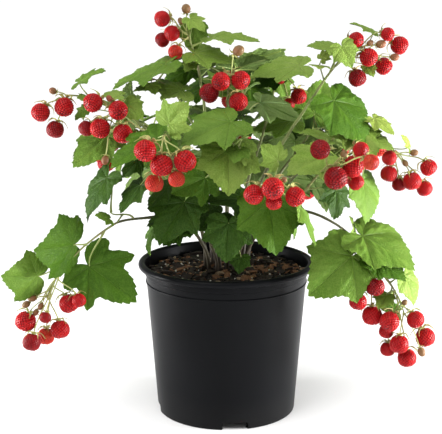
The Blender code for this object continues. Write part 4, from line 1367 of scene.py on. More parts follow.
    def plain_leaf(self, path: Path, blade: Matrix, size: float) -> bmesh.types.BMesh:
        """A petiole that runs into a plain five-lobed blade, for the test of free space."""
        mesh = self.tube(path, self.twig_sides, self.petiole_steps)
        caps = [face for face in mesh.faces if len(face.verts) == self.twig_sides]
        end = min(caps, key=lambda face: (face.calc_center_median() - blade.translation).length)
        under, *upper = sorted(end.verts, key=lambda vert: vert.co.dot(blade.col[2].xyz))
        left, right = sorted(upper, key=lambda vert: vert.co.dot(blade.col[0].xyz))
        bmesh.ops.delete(mesh, geom=[end], context="FACES_ONLY")
        half = [Vector(point) for point in self.half_outline]
        mirrored = [Vector((-point.x, point.y, point.z)) for point in reversed(half)]
        margin = (*half, Vector(self.tip), *mirrored)
        outline = [mesh.verts.new(blade @ (point * size)) for point in margin]
        heights = ((1, [left, right, *outline]), (-1, [*outline[::-1], right, under, left]))
        for side, corners in heights:
            face = mesh.faces.new(corners)
            heart = bmesh.ops.poke(mesh, faces=[face])["verts"][0]
            heart.co = blade @ (Vector((0, self.heart, side * self.thickness / 2)) * size)
        bmesh.ops.recalc_face_normals(mesh, faces=mesh.faces)
        if mesh.calc_volume(signed=True) < 0:
            bmesh.ops.reverse_faces(mesh, faces=mesh.faces)
        return mesh

    def grow_twiglets(self, sizes: "TwigletSizes") -> None:
        """Carries each mass to finer twigs with small leaves, inside the reach of its solid.

        Args:
            sizes: The twigs' and leaves' sizes and numbers.
        """
        for number, spray in enumerate(SPRAYS):
            chance = random.Random(number)
            stem = self.stems[spray.name]
            toward = view_axes(spray.facing)[1]
            low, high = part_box(spray.name)
            margin = Vector((1, 1, 1)) * sizes.margin
            self.limits = (low - margin, high + margin)
            for i in range(min(sizes.least + spray.more, sizes.most)):
                along = spread_between((0.2, 0.95), (i + 0.5) * GOLDEN_SHARE + 0.1 * number)
                axis = stem.heading(along)
                turn = Quaternion(axis, math.radians(GOLDEN_ANGLE * i + 31 * number))
                across = turn @ axis.orthogonal().normalized()
                heading = mixed((0.8, 0.5, 0.35, 0.2), (across, axis, toward, UP))
                root = stem.on_tube(along, self.twig_steps)
                tip = root + heading * chance.uniform(*sizes.lengths)
                arriving = mixed((1, 0.4, 0.2), (heading, UP, toward))
                twig = Path(root, heading, tip, arriving, sizes.radii)
                plain = self.tube(twig, self.twig_sides, 2)
                if not self.is_within(plain) or not self.space.is_free(plain, (spray.name,)):
                    continue
                self.space.add(plain, spray.name)
                self.twigs.append(twig)
                self.leaf_twig(spray, twig, i, chance, sizes)
        self.limits = None

    def leaf_twig(
        self, spray: Spray, twig: Path, number: int, chance: random.Random, sizes: "TwigletSizes"
    ) -> None:
        """Sets small leaves along a twig.

        Args:
            spray: Its mass.
            twig: The twig.
            number: The twig's number.
            chance: The mass's own chance.
            sizes: The leaves' sizes and numbers.
        """
        toward = view_axes(spray.facing)[1]
        for j in range(sizes.leaves):
            along = (j + 1) / sizes.leaves
            axis = twig.heading(along)
            turn = Quaternion(axis, math.radians(GOLDEN_ANGLE * j + 83 * number))
            across = turn @ axis.orthogonal().normalized()
            headings = (across, axis, toward, UP)
            size = chance.uniform(*sizes.leaf_sizes)
            reach = mixed((1, 0.8, 0.3, 0.3), headings) * size * chance.uniform(0.35, 0.6)
            foot = twig.on_tube(along, self.twig_steps) + reach
            point = mixed((1, 0.5, 0.6, -0.2), headings)
            light = heading_of(spray.facing, sizes.face)
            self.add_leaf(spray, twig, j, along, foot, point, size, light, toward, tries=sizes.tries)

    def is_within(self, mesh: bmesh.types.BMesh) -> bool:
        """Whether a mesh stays inside the limits that are set."""
        if self.limits is None:
            return True
        low, high = box_of(mesh)
        least, most = self.limits
        return all(low[i] >= least[i] and high[i] <= most[i] for i in range(3))


@dataclass(frozen=True)
class TwigletSizes:
    """How many finer twigs each mass gets, and how large they and their leaves are."""

    least: int = 2
    most: int = 7
    leaves: int = 3
    face: float = 55
    lengths: tuple[float, float] = (10 * MM, 20 * MM)
    radii: tuple[float, float] = (0.8 * MM, 0.55 * MM)
    leaf_sizes: tuple[float, float] = (11 * MM, 21 * MM)
    margin: float = 3 * MM
    tries: int = 30


# Patterns, and the pieces that are joined from them


class Piece:
    """A joined mesh under construction."""

    def __init__(self, name: str, slot: Slot, *finishes: bpy.types.Material) -> None:
        """Starts an empty piece.

        Args:
            name: The piece's name.
            slot: The record's slot; it is not used.
            *finishes: Its finishes, in the order of its faces' indices.
        """
        self.name = name
        self.slot = slot
        self.finishes = finishes
        self.mesh = bmesh.new()

    def add(self, part: bmesh.types.BMesh) -> None:
        """Joins a mesh under construction, and frees it."""
        data = pattern_of(part)
        self.mesh.from_mesh(data)
        bpy.data.meshes.remove(data)

    def add_copy(self, pattern: bpy.types.Mesh, frame_matrix: Matrix) -> None:
        """Joins a copy of a pattern, placed by a matrix."""
        data = pattern.copy()
        data.transform(frame_matrix)
        self.mesh.from_mesh(data)
        bpy.data.meshes.remove(data)

    def done(self, nodes: Iterable[str] = ()) -> bpy.types.Object:
        """Turns the piece into an object that rides on the plant.

        Args:
            nodes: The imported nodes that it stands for.

        Returns:
            The object.
        """
        data = pattern_of(self.mesh, self.name)
        data.shade_smooth()
        data.set_sharp_from_angle(angle=SHARP_ANGLE)
        for material in self.finishes:
            data.materials.append(material)
        item = bpy.data.objects.new(self.name, data)
        bpy.context.scene.collection.objects.link(item)
        settle(item, self.slot, nodes)
        return item


def settle(item: bpy.types.Object, slot: Slot, nodes: Iterable[str] = ()) -> None:
    """Gives an object its body, hides the nodes that it stands for, and reports it."""
    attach(item, BODY)
    if nodes:
        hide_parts(*nodes)
    triangles = sum(len(face.vertices) - 2 for face in item.data.polygons)
    LOG.info("%s: %d triangles", item.name, triangles)


def pattern_of(mesh: bmesh.types.BMesh, name: str = "pattern") -> bpy.types.Mesh:
    """A mesh block from a mesh under construction, which is freed."""
    data = bpy.data.meshes.new(name)
    mesh.to_mesh(data)
    mesh.free()
    return data


def interpolated(table: Sequence[tuple[float, float]], place: float) -> float:
    """A table's value at a place, along straight lines between its rows."""
    for (first, low), (last, high) in zip(table, table[1:]):
        if place <= last:
            return low + (high - low) * (place - first) / (last - first)
    return table[-1][1]


@dataclass(frozen=True)
class LeafPattern:
    """One blade, a unit long from foot to tip: five lobes, saw teeth, veins and pleats."""

    spokes: int = 108
    rings: int = 11
    tooth_spokes: int = 3
    tooth: float = 0.04
    thickness: float = 0.009
    vein_width: float = 0.009
    groove: float = 0.008
    pleat: float = 0.085
    quilt: float = 0.021
    quilt_step: float = 0.19
    wave: float = 0.03
    pucker: float = 0.02
    droop: float = 0.14
    veins: tuple[float, ...] = (0, 54, 104)
    margin: tuple[tuple[float, float], ...] = (
        (0, 1.0),
        (6, 0.955),
        (14, 0.88),
        (24, 0.82),
        (37, 0.79),
        (48, 0.795),
        (54, 0.79),
        (62, 0.725),
        (72, 0.65),
        (81, 0.615),
        (98, 0.58),
        (105, 0.56),
        (118, 0.49),
        (132, 0.39),
        (147, 0.26),
        (162, 0.12),
        (180, 0.012),
    )
    sinuses: tuple[tuple[float, float], ...] = (
        (0, 0),
        (14, 0.01),
        (24, 0.055),
        (32, 0.105),
        (37, 0.12),
        (42, 0.095),
        (49, 0.015),
        (56, 0),
        (67, 0.055),
        (75, 0.095),
        (80, 0.1),
        (86, 0.06),
        (94, 0),
        (180, 0),
    )
    lobings: tuple[float, ...] = (0.7, 1.0, 1.35, 1.8)

    def on_margin(self, bearing: float, share: float = 1.0, lobing: float = 1.0) -> Vector:
        """The place at a bearing from the tip's, and at a share of the way to the margin."""
        cut = interpolated(self.sinuses, abs(bearing)) * lobing
        away = (interpolated(self.margin, abs(bearing)) - cut) * share
        angle = math.radians(bearing)
        return Vector((math.sin(angle) * away, math.cos(angle) * away, 0))

    def bearings(self) -> list[float]:
        """Each spoke's bearing: even steps along the margin, with one spoke on each vein."""
        fine = 720
        marks = [360 * k / fine - 180 for k in range(fine + 1)]
        places = [self.on_margin(mark) for mark in marks]
        run = [0.0]
        for a, b in zip(places, places[1:]):
            run.append(run[-1] + (b - a).length)
        table = list(zip(run, marks))
        spaced = [interpolated(table, run[-1] * k / self.spokes) for k in range(self.spokes + 1)]
        for vein in self.veins:
            for bearing in {vein, -vein}:
                nearest = min(range(len(spaced)), key=lambda n: abs(spaced[n] - bearing))
                spaced[nearest] = bearing
        return spaced

    def lift(self, place: Vector, bearing: float, share: float, seed: int) -> float:
        """How far the blade stands above its foot's plane.

        Args:
            place: The place on the blade.
            bearing: Its bearing from the tip's.
            share: Its share of the way to the margin.
            seed: The pattern's number.

        Returns:
            The height.
        """
        away = place.length
        steps = (*self.veins, 180)
        low = max(step for step in steps if step <= abs(bearing))
        high = min((step for step in steps if step > abs(bearing)), default=180)
        between = (abs(bearing) - low) / max(high - low, 1)
        bulge = math.sin(math.pi * between) * self.pleat * away * (1 - 0.55 * share)
        nearest = math.radians(abs(bearing) - (low if between < 0.5 else high))
        along, aside = away * math.cos(nearest), away * abs(math.sin(nearest))
        ribs = abs(math.sin(math.pi * (along - aside) / self.quilt_step))
        bulge += self.quilt * ribs * min(1, aside / self.quilt_step * 2)
        ripple = math.sin(math.radians(bearing) * 9 + seed * 1.7) * self.wave * share**3 * away
        rough = noise.noise(Vector((place.x * 7, place.y * 7, seed * 3.3))) * self.pucker
        return bulge + ripple + rough * share - self.droop * away**1.8

    def build(self, seed: int) -> bpy.types.Mesh:
        """The blade as a thin closed solid: finish 0 above, 1 below and 2 on the veins.

        Args:
            seed: The pattern's number.

        Returns:
            The mesh.
        """
        mesh = bmesh.new()
        bmesh.ops.create_grid(mesh, x_segments=self.spokes, y_segments=self.rings, size=1)
        bearings = self.bearings()
        on_vein = [bearing in (*self.veins, *(-vein for vein in self.veins)) for bearing in bearings]
        columns = {vert: round((vert.co.x + 1) / 2 * self.spokes) for vert in mesh.verts}
        rings = {vert: round((vert.co.y + 1) / 2 * self.rings) for vert in mesh.verts}
        for face in mesh.faces:
            inner = max(rings[vert] for vert in face.verts) < self.rings
            beside = any(on_vein[columns[vert]] for vert in face.verts)
            face.material_index = 2 if inner and beside else 0
        for vert in mesh.verts:
            vert.co = self.place(columns[vert], rings[vert], bearings, on_vein, seed)
        bmesh.ops.remove_doubles(mesh, verts=mesh.verts, dist=1e-4)
        flat = [face for face in mesh.faces if face.calc_area() < 1e-9]
        bmesh.ops.delete(mesh, geom=flat, context="FACES_ONLY")
        bmesh.ops.recalc_face_normals(mesh, faces=mesh.faces)
        if sum(face.normal.z for face in mesh.faces) < 0:
            bmesh.ops.reverse_faces(mesh, faces=mesh.faces)
        bmesh.ops.solidify(mesh, geom=mesh.faces[:], thickness=self.thickness)
        bmesh.ops.recalc_face_normals(mesh, faces=mesh.faces)
        mesh.normal_update()
        for face in mesh.faces:
            if face.material_index == 0 and face.normal.z < -0.2:
                face.material_index = 1
        return pattern_of(mesh)

    def place(
        self, column: int, ring: int, bearings: Sequence[float], on_vein: Sequence[bool], seed: int
    ) -> Vector:
        """A grid point's place on the blade.

        Args:
            column: Its spoke.
            ring: Its ring, counted from the foot.
            bearings: Each spoke's bearing.
            on_vein: Whether each spoke runs along a vein.
            seed: The pattern's number.

        Returns:
            The place.
        """
        share = ring / self.rings
        bearing = bearings[column]
        lobing = self.lobings[seed % len(self.lobings)]
        beside = [side for side in (-1, 1) if 0 <= column + side <= self.spokes]
        vein = next((side for side in beside if on_vein[column + side]), 0)
        if vein and 0 < ring < self.rings:
            line = self.on_margin(bearings[column + vein], share, lobing)
            across = Vector((line.y, -line.x, 0)).normalized()
            point = line - across * (vein * self.vein_width * (1 - 0.8 * share))
        else:
            edge = 1.0
            if ring == self.rings:
                saw = abs(column - self.spokes // 2) % self.tooth_spokes
                large = 1.3 if abs(column - self.spokes // 2) // self.tooth_spokes % 2 else 0.8
                edge = 1 + self.tooth * large * (0.5 - saw / (self.tooth_spokes - 1))
            point = self.on_margin(bearing, share * edge, lobing)
        point.z = self.lift(point, bearing, share, seed)
        if on_vein[column] and not vein:
            point.z -= self.groove * (1 - share)
        return point


@dataclass(frozen=True)
class BerryPattern:
    """One berry of unit radius that hangs down -Z: drupelets on a spiral round a core."""

    drupelets: int = 190
    size: float = 0.142
    sides: int = 6
    rows: int = 4
    core: float = 1.015
    squareness: float = 0.82
    egg: float = 0.05
    reach: float = 0.89

    def on_skin(self, share: float, bearing: float) -> tuple[Vector, Vector]:
        """A place on the berry and the way out there, at a share of the way down and a bearing."""
        level = 1 - 2 * share
        across = math.sqrt(max(0.0, 1 - level * level))
        out = Vector((math.cos(bearing) * across, math.sin(bearing) * across, level))
        radius = across**self.squareness * (1 - self.egg * level)
        place = Vector((math.cos(bearing) * radius, math.sin(bearing) * radius, level * 0.95))
        return place * self.reach, out

    def dome(self) -> bpy.types.Mesh:
        """One drupelet: a ball's upper half, open where the core closes it."""
        mesh = bmesh.new()
        bmesh.ops.create_uvsphere(mesh, u_segments=self.sides, v_segments=self.rows, radius=1)
        under = [vert for vert in mesh.verts if vert.co.z < -0.1]
        bmesh.ops.delete(mesh, geom=under, context="VERTS")
        return pattern_of(mesh)

    def build(self, seed: int) -> bpy.types.Mesh:
        """The berry: finish 0 on the drupelets and 1 on the core, which shows in the creases between them and
        carries painted shade there.

        Args:
            seed: The pattern's number.

        Returns:
            The mesh.
        """
        chance = random.Random(seed)
        mesh = bmesh.new()
        bmesh.ops.create_uvsphere(mesh, u_segments=14, v_segments=10, radius=1)
        for vert in mesh.verts:
            bearing = math.atan2(vert.co.y, vert.co.x)
            vert.co = self.on_skin((1 - vert.co.z) / 2, bearing)[0] * self.core
        for face in mesh.faces:
            face.material_index = 1
        dome = self.dome()
        for k in range(self.drupelets):
            share = (k + 0.5) / self.drupelets
            if share < 0.03:
                continue
            bearing = math.radians(GOLDEN_ANGLE * k + chance.uniform(-2, 2))
            place, out = self.on_skin(share, bearing)
            size = self.size * chance.uniform(0.9, 1.08)
            turn = out.to_track_quat("Z", "Y")
            stretch = Vector((size, size, size * chance.uniform(0.95, 1.15)))
            copy = dome.copy()
            copy.transform(Matrix.LocRotScale(place - out * size * 0.3, turn, stretch))
            mesh.from_mesh(copy)
            bpy.data.meshes.remove(copy)
        return pattern_of(mesh)


@dataclass(frozen=True)
class CalyxPattern:
    """Five sepals with drawn-out tips, on a berry or round a bud of unit radius."""

    sepals: int = 5
    length: float = 1.12
    width: float = 0.22
    thickness: float = 0.035
    foot: float = 0.14
    level: float = 0.9
    rise: float = 0.25
    fall: float = 0.35

    def sepal(self, chance: random.Random) -> bmesh.types.BMesh:
        """One sepal along +X, arched up and then down."""
        mesh = bmesh.new()
        bmesh.ops.create_grid(mesh, x_segments=6, y_segments=2, size=1)
        rise = self.rise * chance.uniform(0.7, 1.3)
        fall = self.fall * chance.uniform(0.4, 1.5)
        length = self.length * chance.uniform(0.85, 1.15)
        table = ((0, 0.55), (0.3, 1.0), (0.55, 0.62), (0.75, 0.2), (1, 0.07))
        for vert in mesh.verts:
            along, side = (vert.co.x + 1) / 2, vert.co.y
            across = interpolated(table, along) * self.width * side
            height = self.level + rise * math.sin(math.pi * along) - fall * along**2
            height += 0.05 * side * side
            vert.co = Vector((self.foot + along * length, across, height))
        bmesh.ops.solidify(mesh, geom=mesh.faces[:], thickness=self.thickness)
        bmesh.ops.recalc_face_normals(mesh, faces=mesh.faces)
        return mesh

    def build(self, seed: int) -> bpy.types.Mesh:
        """The calyx with the small boss that it stands on.

        Args:
            seed: The pattern's number.

        Returns:
            The mesh.
        """
        chance = random.Random(seed)
        mesh = bmesh.new()
        boss = Matrix.Translation((0, 0, self.level - 0.02)) @ Matrix.Diagonal((0.24, 0.24, 0.12, 1))
        bmesh.ops.create_uvsphere(mesh, u_segments=8, v_segments=6, radius=1, matrix=boss)
        for k in range(self.sepals):
            part = self.sepal(chance)
            angle = math.tau * k / self.sepals + chance.uniform(-0.15, 0.15)
            bmesh.ops.rotate(part, verts=part.verts, cent=(0, 0, 0), matrix=Matrix.Rotation(angle, 3, "Z"))
            data = pattern_of(part)
            mesh.from_mesh(data)
            bpy.data.meshes.remove(data)
        return pattern_of(mesh)


# The pot and its potting mix


def arc(
    middle: tuple[float, float], radius: float, first: float, last: float, steps: int
) -> Iterator[tuple[float, float]]:
    """Points of a profile along an arc, from one angle to another."""
    for step in range(steps + 1):
        angle = math.radians(first + (last - first) * step / steps)
        yield (middle[0] + radius * math.cos(angle), middle[1] + radius * math.sin(angle))


def turned(profile: Sequence[tuple[float, float]], sides: int) -> bmesh.types.BMesh:
    """A closed body turned from a profile of radius and height.

    Args:
        profile: The profile's points, from the axis to the axis.
        sides: The steps of the turn.

    Returns:
        The mesh.
    """
    mesh = bmesh.new()
    verts = [mesh.verts.new((radius, 0, height)) for radius, height in profile]
    edges = [mesh.edges.new(pair) for pair in zip(verts, verts[1:])]
    bmesh.ops.spin(
        mesh,
        geom=verts + edges,
        axis=UP,
        cent=(0, 0, 0),
        angle=math.tau,
        steps=sides,
        use_merge=True,
    )
    bmesh.ops.remove_doubles(mesh, verts=mesh.verts, dist=1e-6)
    bmesh.ops.recalc_face_normals(mesh, faces=mesh.faces)
    return mesh


@dataclass
class NurseryPot:
    """The pot: rolled rim, collar band, ring, tapered wall, foot notches, drains and a pad."""

    sides: int = 160
    rim_diameter: float = 168 * MM
    roll_radius: float = 3.3 * MM
    roll_level: float = 143.5 * MM
    base_radius: float = 66.2 * MM
    wall: float = 1.5 * MM
    taper: float = 0.079
    ring_level: float = 127.3 * MM
    band_level: float = 134.5 * MM
    pad_radius: float = 40 * MM
    channel_outer: float = 61 * MM
    channel_height: float = 7 * MM
    soil_level: float = 136 * MM
    notch_count: int = 4
    notch_size: tuple[float, float, float] = (12 * MM, 25 * MM, 7.6 * MM)
    notch_start: float = -83.0
    drain_radius: float = 54 * MM
    drain_size: tuple[float, float, float] = (7 * MM, 14 * MM, 8 * MM)
    corner: float = 2.2 * MM

    def outside(self, level: float) -> float:
        """The plain wall's outer radius at a height."""
        return self.base_radius + self.taper * level

    def inside(self, level: float) -> float:
        """The plain wall's inner radius at a height."""
        return self.outside(level) - self.wall

    def profile(self) -> list[tuple[float, float]]:
        """The section: pad, channel, foot, wall, ring, band, rolled rim and inner wall."""
        roll = (self.rim_diameter / 2 - self.roll_radius, self.roll_level)
        step, ring = self.channel_height, self.outside(self.ring_level)
        high = self.notch_size[2] + 3 * MM
        foot = (self.base_radius - 1.2 * MM, 1.4 * MM)
        wall = [high + (self.ring_level - high) * k / 12 for k in range(12)]
        return [
            (0, 0),
            (self.pad_radius - 1 * MM, 0),
            (self.pad_radius, 0.3 * MM),
            (self.pad_radius + 4 * MM, step - 0.3 * MM),
            (self.pad_radius + 5 * MM, step),
            (self.channel_outer, step),
            (self.channel_outer + 0.6 * MM, 0.4 * MM),
            (self.channel_outer + 1.2 * MM, 0),
            *arc(foot, 1.4 * MM, -90, -4, 5),
            *((self.outside(level), level) for level in wall),
            *arc((ring, self.ring_level), 1.0 * MM, -80, 80, 6),
            (ring + 0.4 * MM, self.ring_level + 1.6 * MM),
            (ring + 0.5 * MM, self.band_level - 0.6 * MM),
            *arc((ring + 0.7 * MM, self.band_level + 0.8 * MM), 1.0 * MM, -70, 0, 5),
            (ring + 1.8 * MM, self.band_level + 3 * MM),
            *arc(roll, self.roll_radius, 218, 520, 26),
            (self.inside(self.soil_level), self.soil_level - 6 * MM),
            (self.inside(step + 5 * MM), step + 5 * MM),
            (self.inside(0) - 2.5 * MM, step + self.wall),
            (self.pad_radius + 4 * MM - self.wall, step + self.wall),
            (self.pad_radius - self.wall, self.wall),
            (0, self.wall),
        ]

    def cutter(self, size: Sequence[float], place: Matrix) -> bmesh.types.BMesh:
        """A block with rounded edges that cuts a notch or a drain."""
        mesh = bmesh.new()
        bmesh.ops.create_cube(mesh, size=1, matrix=place @ Matrix.Diagonal((*size, 1)))
        bmesh.ops.bevel(
            mesh,
            geom=mesh.edges[:],
            offset=self.corner,
            segments=3,
            profile=0.5,
            affect="EDGES",
            material=-1,
        )
        return mesh

    def build(self) -> bpy.types.Object:
        """The pot as an object that stands for its node."""
        cutters = Piece("cutters", Slot.POT)
        for k in range(self.notch_count):
            angle = math.radians(self.notch_start + 360 / self.notch_count * k)
            turn = Matrix.Rotation(angle, 4, "Z")
            low = self.channel_height - self.notch_size[2] / 2
            cutters.add(self.cutter(self.notch_size, turn @ Matrix.Translation((self.base_radius, 0, low))))
            drain = Matrix.Translation((self.drain_radius, 0, self.channel_height))
            cutters.add(self.cutter(self.drain_size, turn @ drain))
        tool = bpy.data.objects.new("cutters", pattern_of(cutters.mesh))
        bpy.context.scene.collection.objects.link(tool)
        item = bpy.data.objects.new("nursery_pot", pattern_of(turned(self.profile(), self.sides)))
        bpy.context.scene.collection.objects.link(item)
        boolean = item.modifiers.new("notches", "BOOLEAN")
        boolean.operation = "DIFFERENCE"
        boolean.object = tool
        boolean.solver = "EXACT"
        evaluated = item.evaluated_get(bpy.context.evaluated_depsgraph_get())
        data = bpy.data.meshes.new_from_object(evaluated)
        item.modifiers.clear()
        item.data = data
        bpy.data.objects.remove(tool)
        data.shade_smooth()
        data.set_sharp_from_angle(angle=SHARP_ANGLE)
        data.materials.clear()
        data.materials.append(PlasticFinish().material())
        settle(item, Slot.POT, ["pot"])
        return item


@dataclass
class PottingMix:
    """The mix in the pot: dark earth, bark chips, splinters, crumbs and perlite."""

    pot: NurseryPot
    sides: int = 96
    crown_level: float = 139 * MM
    crown_radius: float = 27 * MM
    relief: float = 2.2 * MM
    chip_size: tuple[float, float, float] = (13 * MM, 7.5 * MM, 3.4 * MM)
    chips: int = 300
    splinters: int = 90
    pale_chips: int = 48
    crumbs: int = 420
    perlite: int = 200

    def surface(self, x: float, y: float) -> float:
        """The surface's height at a place."""
        away = math.hypot(x, y)
        slope = (away - self.crown_radius) / (self.pot.inside(self.pot.soil_level) - self.crown_radius)
        level = self.crown_level - 3.6 * MM * min(max(slope, 0), 1) ** 0.7
        rough = noise.noise(Vector((x, y, 0)) * 110) + 0.5 * noise.noise(Vector((x, y, 0.1)) * 260)
        return level - 0.6 * MM + rough * self.relief

    def body(self) -> bmesh.types.BMesh:
        """The mix as one body: it fills the pot, and its top is rough."""
        step, wall, pot = self.pot.channel_height, self.pot.wall, self.pot
        edge = pot.inside(pot.soil_level) - 3 * GAP
        top = [(edge * (1 - k / 26), self.crown_level) for k in range(26)]
        profile = [
            (0, wall + GAP),
            (pot.pad_radius - wall - 2 * GAP, wall + GAP),
            (pot.pad_radius + 4 * MM - wall - 2 * GAP, step + wall + GAP),
            (pot.inside(0) - 2.5 * MM - GAP, step + wall + GAP),
            (pot.inside(step + 5 * MM) - 2 * GAP, step + 5 * MM),
            (edge, pot.soil_level - 6 * MM),
            *top,
            (0, self.crown_level),
        ]
        mesh = turned(profile, self.sides)
        for vert in mesh.verts:
            if vert.co.z > self.crown_level - 0.1 * MM:
                vert.co.z = self.surface(vert.co.x, vert.co.y)
        return mesh

    def chip(self, seed: int) -> bpy.types.Mesh:
        """An angular chip of unit size: a block with its corners broken off."""
        chance = random.Random(seed)
        mesh = bmesh.new()
        bmesh.ops.create_cube(mesh, size=1)
        for _ in range(5):
            normal = Vector([chance.uniform(-1, 1) for _ in range(3)]).normalized()
            cut = bmesh.ops.bisect_plane(
                mesh,
                geom=mesh.verts[:] + mesh.edges[:] + mesh.faces[:],
                plane_co=normal * chance.uniform(0.36, 0.5),
                plane_no=normal,
                clear_outer=True,
            )["geom_cut"]
            rim = [part for part in cut if isinstance(part, bmesh.types.BMEdge)]
            bmesh.ops.holes_fill(mesh, edges=rim, sides=0)
        for vert in mesh.verts:
            vert.co += noise.noise_vector(vert.co * 2.3 + Vector((seed, 0, 0))) * 0.1
        bmesh.ops.recalc_face_normals(mesh, faces=mesh.faces)
        return pattern_of(mesh)

    def grain(self, seed: int, rough: float) -> bpy.types.Mesh:
        """A rounded grain of unit size."""
        mesh = bmesh.new()
        bmesh.ops.create_icosphere(mesh, subdivisions=1, radius=0.5)
        for vert in mesh.verts:
            vert.co *= 1 + rough * noise.noise(vert.co * 3 + Vector((seed, 0, 0)))
        return pattern_of(mesh)

    def scattered(self, count: int, seed: int, reach: float) -> Iterator[tuple[Vector, random.Random]]:
        """Places on the surface on a sunflower's spiral, shaken, each with the scatter's chance."""
        chance = random.Random(seed)
        edge = (self.pot.inside(self.pot.soil_level) - 3 * MM) * reach
        for k in range(count):
            away = edge * math.sqrt((k + 0.5) / count)
            angle = math.radians(GOLDEN_ANGLE * k + seed * 40) + chance.uniform(-0.15, 0.15)
            away = min(edge, max(0.0, away + chance.uniform(-3, 3) * MM))
            x, y = math.cos(angle) * away, math.sin(angle) * away
            yield Vector((x, y, self.surface(x, y))), chance

    def strew(
        self,
        pieces: Sequence[Piece],
        patterns: Sequence[bpy.types.Mesh],
        count: int,
        size: Sequence[float],
        spread: tuple[float, float],
        tilt: float,
        seed: int,
        reach: float = 1.0,
    ) -> None:
        """Strews copies of patterns over the surface.

        Args:
            pieces: The pieces that take the copies in turn.
            patterns: The patterns.
            count: How many.
            size: The largest size along each axis.
            spread: The least and largest share of that size.
            tilt: The most that one tilts, in radians.
            seed: The scatter's number.
            reach: The share of the surface's radius that they cover.
        """
        for k, (place, chance) in enumerate(self.scattered(count, seed, reach)):
            share = chance.uniform(*spread)
            stretch = Vector(size) * share
            turn = Quaternion(UP, chance.uniform(0, math.tau))
            turn @= Quaternion(Vector((chance.uniform(-1, 1), 1, 0)).normalized(), chance.gauss(0, tilt))
            place.z += stretch.z * chance.uniform(0.0, 0.5)
            copy = Matrix.LocRotScale(place, turn, stretch)
            pieces[chance.randrange(len(pieces))].add_copy(patterns[k % len(patterns)], copy)

    def build(self) -> None:
        """Builds every piece of the mix."""
        earth = Piece("potting_earth", Slot.SOIL, EARTH.material())
        earth.add(self.body())
        grains = [self.grain(seed, 0.5) for seed in range(3)]
        self.strew([earth], grains, self.crumbs, (3.4 * MM,) * 3, (0.3, 1), 0.5, 5)
        chips = [self.chip(seed) for seed in range(7)]
        finishes = (BARK_DARK, BARK_DARK, BARK_RED, BARK_PALE)
        names = ("bark_chips_dark", "bark_chips_brown", "bark_chips_red", "bark_chips_pale")
        barks = [Piece(name, Slot.SOIL, look.material()) for name, look in zip(names, finishes)]
        self.strew(barks[:3], chips, self.chips, self.chip_size, (0.3, 1.0), 0.3, 1)
        self.strew(barks[3:], chips, self.pale_chips, self.chip_size, (0.25, 0.7), 0.3, 4)
        splinter = (12 * MM, 1.7 * MM, 1.2 * MM)
        self.strew(barks[2:], chips, self.splinters, splinter, (0.5, 1.1), 0.3, 2)
        perlite = Piece("perlite_grains", Slot.SOIL, PERLITE.material())
        self.strew([perlite], grains, self.perlite, (2.8 * MM,) * 3, (0.4, 1), 0.5, 3)
        earth.done(["soil"])
        for piece in (*barks, perlite):
            piece.done()


# The plant


@dataclass
class Canes:
    """The canes and boughs, with nodes, flaking bark and a foot sunk in the mix."""

    growth: Growth
    sides: int = 14
    steps: int = 34
    sunk: float = 5 * MM
    lap: float = 1.2 * MM
    node_spacing: float = 26 * MM
    node_swelling: float = 0.16
    flake: float = 0.13 * MM

    def limb(self, limb: Limb, seed: int) -> bmesh.types.BMesh:
        """One limb with its nodes and its bark's relief.

        Args:
            limb: Its row.
            seed: Its number.

        Returns:
            The mesh.
        """
        path = self.growth.limbs[limb.name]
        rings = list(path.rings(self.steps))
        is_cane = limb.carrier == "soil"
        length = path.length()
        shaped = [self.before(rings[0], self.sunk if is_cane else self.lap + 2 * MM)]
        for k, (place, turn, radius) in enumerate(rings):
            run = length * k / self.steps
            phase = (run + seed * 7 * MM) % self.node_spacing / self.node_spacing
            swelling = self.node_swelling * math.exp(-(((phase - 0.5) * 9) ** 2))
            foot = 0.25 * math.exp(-run / (8 * MM)) if is_cane else 0
            bend = turn @ Vector((1, 0, 0)) * (0.25 * MM * math.sin(phase * math.tau))
            shaped.append(Ring(place + bend, turn, radius * (1 + swelling + foot)))
        shaped.append(self.before(shaped[-1], -self.lap))
        mesh = swept(shaped, self.sides)
        mesh.normal_update()
        for vert in mesh.verts:
            streak = Vector((vert.co.x * 900, vert.co.y * 900, vert.co.z * 160 + seed))
            vert.co += vert.normal * (noise.noise(streak) * self.flake)
        return mesh

    def before(self, ring: Ring, distance: float) -> Ring:
        """A ring some way behind another one."""
        back = ring.turn @ Vector((0, 0, -1))
        return Ring(ring.place + back * distance, ring.turn, ring.radius * 0.96)

    def build(self) -> None:
        """Builds the canes and the boughs."""
        bark = BarkFinish().material()
        canes = Piece("canes", Slot.WOOD, bark)
        boughs = Piece("boughs", Slot.WOOD, bark)
        for seed, limb in enumerate(LIMBS):
            (canes if limb.carrier == "soil" else boughs).add(self.limb(limb, seed))
        canes.done([limb.name for limb in LIMBS if limb.carrier == "soil"])
        boughs.done([limb.name for limb in LIMBS if limb.carrier != "soil"])


